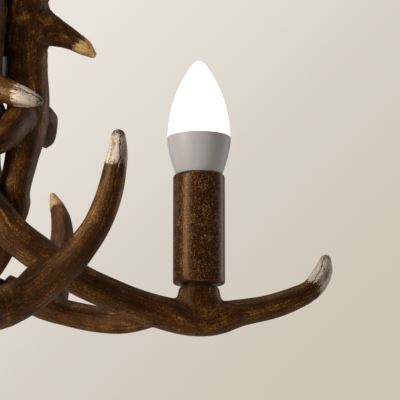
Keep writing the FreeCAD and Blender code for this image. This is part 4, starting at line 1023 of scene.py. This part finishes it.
    def pattern(self, place: np.ndarray, size: tuple[float, float], way: float = 1.0) -> float:
        """Noise from -1 to 1 at a place in the grain.

        Args:
            place: grain coordinates in mm.
            size: the pattern's size along and across the grain, in mm.
            way: 1 or -1, the side to which the antler's seed shifts the pattern.

        Returns:
            The noise.
        """
        (s, a, b), (long, wide) = place, size
        shift = Vector((self.seed, self.seed * 0.37, -self.seed * 0.61))
        return noise.noise(Vector((s / long, a / wide, b / wide)) + shift * way)

    def relief(self, grain: np.ndarray, mark: np.ndarray, bare: np.ndarray) -> np.ndarray:
        """Height of the carving at each point, in mm.

        Args:
            grain: grain coordinates in mm.
            mark: distance along the nearest branch in mm.
            bare: 1 on a polished tip, 0 elsewhere.

        Returns:
            The height outwards.
        """
        heights = np.empty(len(grain))
        for index, place in enumerate(grain):
            lump = self.pattern(place, self.lump_size)
            ripple = self.pattern(place, self.ripple_size, -1.0)
            wave = abs(self.pattern(place, self.furrow_size))
            furrow = -max(0.0, 1.0 - wave * self.furrow_sharpness) * (self.furrow_share + lump)
            polish = 1.0 - self.polish * bare[index]
            fine = self.furrow_depth * furrow + self.ripple_height * ripple
            height = self.lump_height * lump + polish * fine
            height += self.fullness * (1.0 + bare[index])
            if self.has_burr and mark[index] < self.bark_length:
                share = max(0.0, 1.0 - mark[index] / self.bark_length)
                pearl = self.pattern(place, self.pearl_size)
                pearl += 0.5 * self.pattern(place, self.grit_size, -1.0)
                height += self.pearl_height * pearl * min(1.0, share * self.pearl_fade)
            heights[index] = height
        return heights

    def carve(self, piece: bpy.types.Object) -> None:
        """Move the skin by its carving and store what the resin's pattern follows."""
        mesh = piece.data
        count = len(mesh.vertices)
        places = np.empty(count * 3)
        mesh.vertices.foreach_get("co", places)
        places = places.reshape(-1, 3)
        normals = np.empty(count * 3, np.float32)
        mesh.vertex_normals.foreach_get("vector", normals)
        grain, _, nearest, mark = self.locate(places / MM)

        # Where no worn tip is near: 50 mm below its edge and 100 mm from its end.
        pale = np.full(count, -50.0)
        from_tip = np.full(count, 100.0)
        tone = np.zeros(count)
        cracked = np.zeros(count)
        for number, (branch, frame) in enumerate(zip(self.branches, self.frames())):
            if branch.tip is None:
                continue
            mine = nearest == number
            end = frame["marks"][-1] + frame["radius"][-1]
            from_tip[mine] = end - mark[mine]
            pale[mine] = branch.tip.length - from_tip[mine]
            tone[mine] = branch.tip.tone
            cracked[mine] = branch.tip.cracked
        bare = np.clip(pale / self.polish_fade + 0.5, 0.0, 1.0)
        heights = self.relief(grain, mark, bare)
        moved = places + normals.reshape(-1, 3) * (heights * MM)[:, None]
        mesh.vertices.foreach_set("co", moved.ravel())

        vectors = {"grain": grain, "tip": np.stack([pale, from_tip, tone], axis=1)}
        for name, values in vectors.items():
            layer = mesh.attributes.new(name, "FLOAT_VECTOR", "POINT")
            layer.data.foreach_set("vector", values.astype(np.float32).ravel())
        floats = {"relief": (heights - self.fullness) / self.lump_height, "crack": cracked}
        for name, values in floats.items():
            layer = mesh.attributes.new(name, "FLOAT", "POINT")
            layer.data.foreach_set("value", values.astype(np.float32))
        mesh.update()


@dataclass
class AntlerCluster:
    """The six antlers: each form modelled once, lowered to its place and copied round the axis."""

    plan: AntlerPlan = field(default_factory=AntlerPlan)
    body: str = "antler_cluster"

    def lamp_form(self, name: str, seed: float, shift: float, drop: float, spur: int) -> Antler:
        """A lamp antler whose guard tine and spur have these sizes."""
        plan = self.plan
        guard = plan.guard_tine(shift, drop, worn=not shift)
        branches = [plan.main_beam(), plan.brow_tine(), guard, plan.spur(spur), plan.boss()]
        return Antler(name, branches, seed, has_burr=True)

    def build(self, palette: Palette) -> None:
        """Model and place all six antlers.

        Args:
            palette: where the finish comes from.
        """
        forms = [
            (self.lamp_form("side", 3.1, 0.0, 0.0, 3), "lamp_antler", (0, 2)),
            (self.lamp_form("middle", 7.7, 3.5, 5.0, 5), "lamp_antler", (1,)),
            (Antler("rear", self.plan.rear_cross(), 12.9), "cross_antler", (0, 1)),
            (Antler("front", self.plan.front_cross(), 21.3), "cross_antler", (2,)),
        ]
        for form, node, places in forms:
            model = form.build()
            model.data.transform(Matrix.Translation(lamp_place() * MM))
            for index in places:
                piece = copied(model, f"{node}_{index + 1}_carved", TURN * index)
                palette.dress(piece, FinishName.ANTLER)
                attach(piece, self.body)
                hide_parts(f"{node}_{index + 1}")
                log.info("antler %s: %d faces", piece.name, len(piece.data.polygons))
            bpy.data.objects.remove(model)


# ---- candle lamps -----------------------------------------------------------------------------
@dataclass
class CandleLamps:
    """The candle sleeves and bulbs, modelled once on the first arm and copied round the axis."""

    lamp_radius: float = 118.0
    sleeve_radius: float = 15.0
    sleeve_wall: float = 1.8
    sleeve_height: float = 64.0
    sleeve_floor: float = 2.4
    sleeve_bore: float = 5.3
    sleeve_edge: float = 1.5
    bulb_radius: float = 18.5
    bulb_length: float = 68.3
    bulb_lift: float = 0.4
    housing_height: float = 22.0
    bulb_wall: float = 1.4
    spigot_radius: float = 5.9
    spigot_length: float = 7.0
    spigot_wall: float = 1.2
    globe_wall: float = 1.1

    @property
    def rim(self) -> float:
        """Height of the globe's rim above the lamp plane."""
        return self.sleeve_height + self.bulb_lift + self.housing_height

    def centre(self) -> Vector:
        """Foot of the first candle's axis."""
        return lamp_place(self.lamp_radius)

    def sleeve(self) -> bpy.types.Object:
        """Candle tube with rolled edges and a bored floor."""
        outer, inner, edge = self.sleeve_radius, self.sleeve_radius - self.sleeve_wall, self.sleeve_edge
        top, rings, chamfer = self.sleeve_height, 12, 0.3
        angles = (0.0, 0.52, 1.05, 1.57)  # radians round a rolled edge
        rolled = [(outer - edge * (1 - math.cos(a)), edge * (1 - math.sin(a))) for a in angles]
        profile: Profile = [(self.sleeve_bore, 0.0), *reversed(rolled)]
        profile += [(outer, edge + (top - 2 * edge) * part / rings) for part in range(1, rings)]
        profile += [(radius, top - height) for radius, height in rolled]
        profile += [(inner + chamfer, top), (inner, top - chamfer), (inner, self.sleeve_floor)]
        profile += [(self.sleeve_bore, self.sleeve_floor), (self.sleeve_bore, 0.0)]
        return turned("sleeve", profile, self.centre(), corners=96)

    def housing(self) -> bpy.types.Object:
        """Flared lamp housing, hollow, with a flat rim that takes the globe."""
        shape = ((0.0, 0.725), (0.06, 0.755), (0.17, 0.80), (0.32, 0.855), (0.48, 0.905), (0.64, 0.95))
        shape += ((0.80, 0.985), (0.93, 1.0), (1.0, 1.0))
        low = self.sleeve_height + self.bulb_lift
        side = [(self.bulb_radius * wide, low + self.housing_height * high) for high, wide in shape]
        spigot, end = self.spigot_radius, low - self.spigot_length
        foot: Profile = [(spigot, end), (spigot, low), (self.bulb_radius * 0.70, low)]
        inside = [(radius - self.bulb_wall, height) for radius, height in reversed(side[1:])]
        bore = spigot - self.spigot_wall
        throat: Profile = [(bore, low + self.bulb_wall), (bore, end)]
        profile = foot + smooth_profile(side, 1.2) + smooth_profile(inside, 2.0) + throat + foot[:1]
        return turned("housing", profile, self.centre(), corners=96)

    def globe(self) -> bpy.types.Object:
        """Candle-shaped opal globe, a thin shell closed at its tip."""
        shape = ((0.0, 0.985), (0.10, 0.972), (0.22, 0.940), (0.34, 0.885), (0.46, 0.808), (0.58, 0.705))
        shape += ((0.70, 0.575), (0.81, 0.425), (0.90, 0.285), (0.96, 0.170), (0.99, 0.075), (1.0, 0.0))
        height = self.bulb_length - self.housing_height
        side = [(self.bulb_radius * wide, self.rim + height * high) for high, wide in shape]
        piece = turned("globe", smooth_profile(side, 1.5), self.centre(), corners=96)
        apply_modifier(piece, "SOLIDIFY", thickness=self.globe_wall * MM, offset=-1.0)
        return piece

    def build(self, palette: Palette) -> None:
        """Model the sleeve and bulb, and copy them to the three arms.

        Args:
            palette: where the finishes come from.
        """
        kinds = (
            (self.sleeve, "candle_sleeve", "antler_cluster", FinishName.SLEEVE),
            (self.housing, "bulb_housing", "bulb", FinishName.HOUSING),
            (self.globe, "bulb_globe", "bulb", FinishName.GLOBE),
        )
        for make, node, body, finish in kinds:
            model = make()
            for index in range(LAMP_COUNT):
                piece = copied(model, f"{node}_{index + 1}_turned", TURN * index)
                palette.dress(piece, finish)
                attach(piece, body if body == "antler_cluster" else f"{body}_{index + 1}")
                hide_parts(f"{node}_{index + 1}")
            log.info("%s: %d faces", node, len(model.data.polygons))
            bpy.data.objects.remove(model)


# ---- carried-over solids ----------------------------------------------------------------------
class Hardware:
    """The solids that keep their shape and get their finish here."""

    FINISHES = {
        FinishName.ANTLER: "screw_plugs",
        FinishName.BRONZE: "crown_plate hanging_eye chain_link canopy canopy_loop cross_screws antler_dowels "
        "seat_washers",
        FinishName.STEEL: "central_tube hub_block hub_screws crown_screws lamp_nipples holder_nuts "
        "ceiling_bracket canopy_stud",
        FinishName.CONTACT: "holder_contacts bulb_contact",
        FinishName.HOLDER: "lampholder_base lampholder_socket",
        FinishName.CAP: "threaded_shell bulb_cap",
        FinishName.BLOCK: "terminal_block",
        FinishName.LEAD: "lamp_lead",
        FinishName.BOARD: "bulb_led_board",
    }

    def dress(self, nodes: dict[str, bpy.types.Object], palette: Palette) -> None:
        """Give every node that is still shown its finish.

        Args:
            nodes: the CAD nodes by name.
            palette: where the finishes come from.
        """
        for name, node in nodes.items():
            stem = name.rstrip("0123456789").rstrip("_")
            for finish, stems in self.FINISHES.items():
                if stem in stems.split() and not node.hide_render:
                    node.data.materials.clear()
                    node.data.materials.append(palette.materials[finish])
                    log.info("solid %s: %s", name, finish.value)


# ---- studio -----------------------------------------------------------------------------------
@dataclass
class Studio:
    """Camera, lights, pale surroundings and floor, in metres."""

    camera_place: Place = (0.0, -1.050, -0.548)
    view_way: Place = (205 / 1815, 1.0, 350 / 1815)
    focal_pixels: float = 1856.0
    image_width: float = 400.0
    sensor: float = 36.0
    floor_height: float = -0.80
    floor_size: float = 12.0
    light_target: Place = (0.0, 0.0, -0.33)
    fill: float = 0.21  # strength of the even light

    def camera(self) -> None:
        """Camera at the photograph's viewing angle."""
        data = bpy.data.cameras.new("camera")
        data.sensor_width = self.sensor
        data.lens = self.focal_pixels * self.sensor / self.image_width
        data.clip_start, data.clip_end = 0.01, 50.0
        item = bpy.data.objects.new("camera", data)
        item.location = self.camera_place
        item.rotation_euler = Vector(self.view_way).to_track_quat("-Z", "Y").to_euler()
        bpy.context.scene.collection.objects.link(item)
        bpy.context.scene.camera = item

    def lamp(self, name: str, place: Place, size: tuple[float, float], power: float, colour: str) -> None:
        """Add one soft rectangular light aimed at the antlers.

        Args:
            name: the light's name.
            place: its middle, in metres.
            size: its width and height in metres.
            power: its power in watts.
            colour: its sRGB hex colour.
        """
        data = bpy.data.lights.new(name, "AREA")
        data.shape = "RECTANGLE"
        data.size, data.size_y = size
        data.energy = power
        data.color = linear(colour)[:3]
        item = bpy.data.objects.new(name, data)
        item.location = place
        aim = Vector(self.light_target) - Vector(place)
        item.rotation_euler = aim.to_track_quat("-Z", "Y").to_euler()
        bpy.context.scene.collection.objects.link(item)

    def surroundings(self) -> None:
        """Even pale light, and a pale backdrop painted with shade: lighter to the upper left, darker to the
        lower right.
        """
        world = bpy.data.worlds.new("studio")
        bpy.context.scene.world = world
        node = emptied(world)
        way = node("TexCoord").outputs["Generated"]
        # Painted shade on the backdrop that the camera sees: it darkens along this slant towards the lower
        # right.
        backdrop_shade_slant = node("VectorMath", {0: way, 1: (-0.707, 0.0, 0.707)}, {"operation": "DOT_PRODUCT"})
        share = node("MapRange", {0: backdrop_shade_slant.outputs["Value"], 1: -0.10, 2: 0.20}, SMOOTH_STEP)
        # Painted shade of the backdrop, from the darker lower right to the lighter upper left.
        tint = node("ValToRGB", {0: share}, stops=((0.0, "#cdc6b6"), (0.5, "#d8d0c5"), (1.0, "#ebe4dc")))
        shown = node("Background", {0: tint, 1: 1.0})
        light = node("Background", {0: linear("#f2eeea"), 1: self.fill})
        path = node("LightPath").outputs
        seen = node("Math", {0: path["Is Camera Ray"], 1: path["Is Transmission Ray"]}, MAXIMUM)
        mixed = node("MixShader", {0: seen, 1: light, 2: shown})
        node("OutputWorld", {0: mixed})

    def floor(self) -> None:
        """Plain pale floor below the chandelier."""
        clear_selection()
        bpy.ops.mesh.primitive_plane_add(size=self.floor_size, location=(0.0, 0.0, self.floor_height))
        floor = bpy.context.active_object
        floor.name = "studio_floor"
        material = bpy.data.materials.new("floor_matt_paint")
        node = emptied(material)
        place = node("TexCoord").outputs["Object"]
        cloud = node("TexNoise", {"Vector": place, "Scale": 1.5})
        tint = node("ValToRGB", {0: cloud}, stops=((0.3, "#d6cfc4"), (0.7, "#ddd7cd")))
        paint = node("BsdfPrincipled", {"Base Color": tint, "Roughness": 0.8})
        node("OutputMaterial", {0: paint})
        floor.data.materials.append(material)

    def build(self) -> None:
        """Set up everything round the chandelier."""
        bpy.context.scene.view_settings.view_transform = "Standard"
        self.camera()
        self.surroundings()
        self.floor()
        self.lamp("key", (-1.38, -0.74, -0.18), (0.45, 1.2), 34.0, "#fff9f2")
        self.lamp("top", (-0.2, -0.1, 0.75), (1.0, 1.0), 5.0, "#fff1df")
        self.lamp("rim", (1.3, 0.6, -0.2), (0.4, 1.2), 3.0, "#f3f2ff")


def main() -> None:
    """Load the frame, build each sub-assembly over it and set up the studio."""
    logging.basicConfig(level=logging.INFO, format="%(name)s: %(message)s", stream=sys.stdout)
    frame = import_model()
    Studio().build()
    lamps = CandleLamps()
    palette = Palette(globe_rim=lamps.rim + LAMP_PLANE)
    AntlerCluster().build(palette)
    lamps.build(palette)
    Hardware().dress(frame["nodes"], palette)


if __name__ == "__main__":
    main()
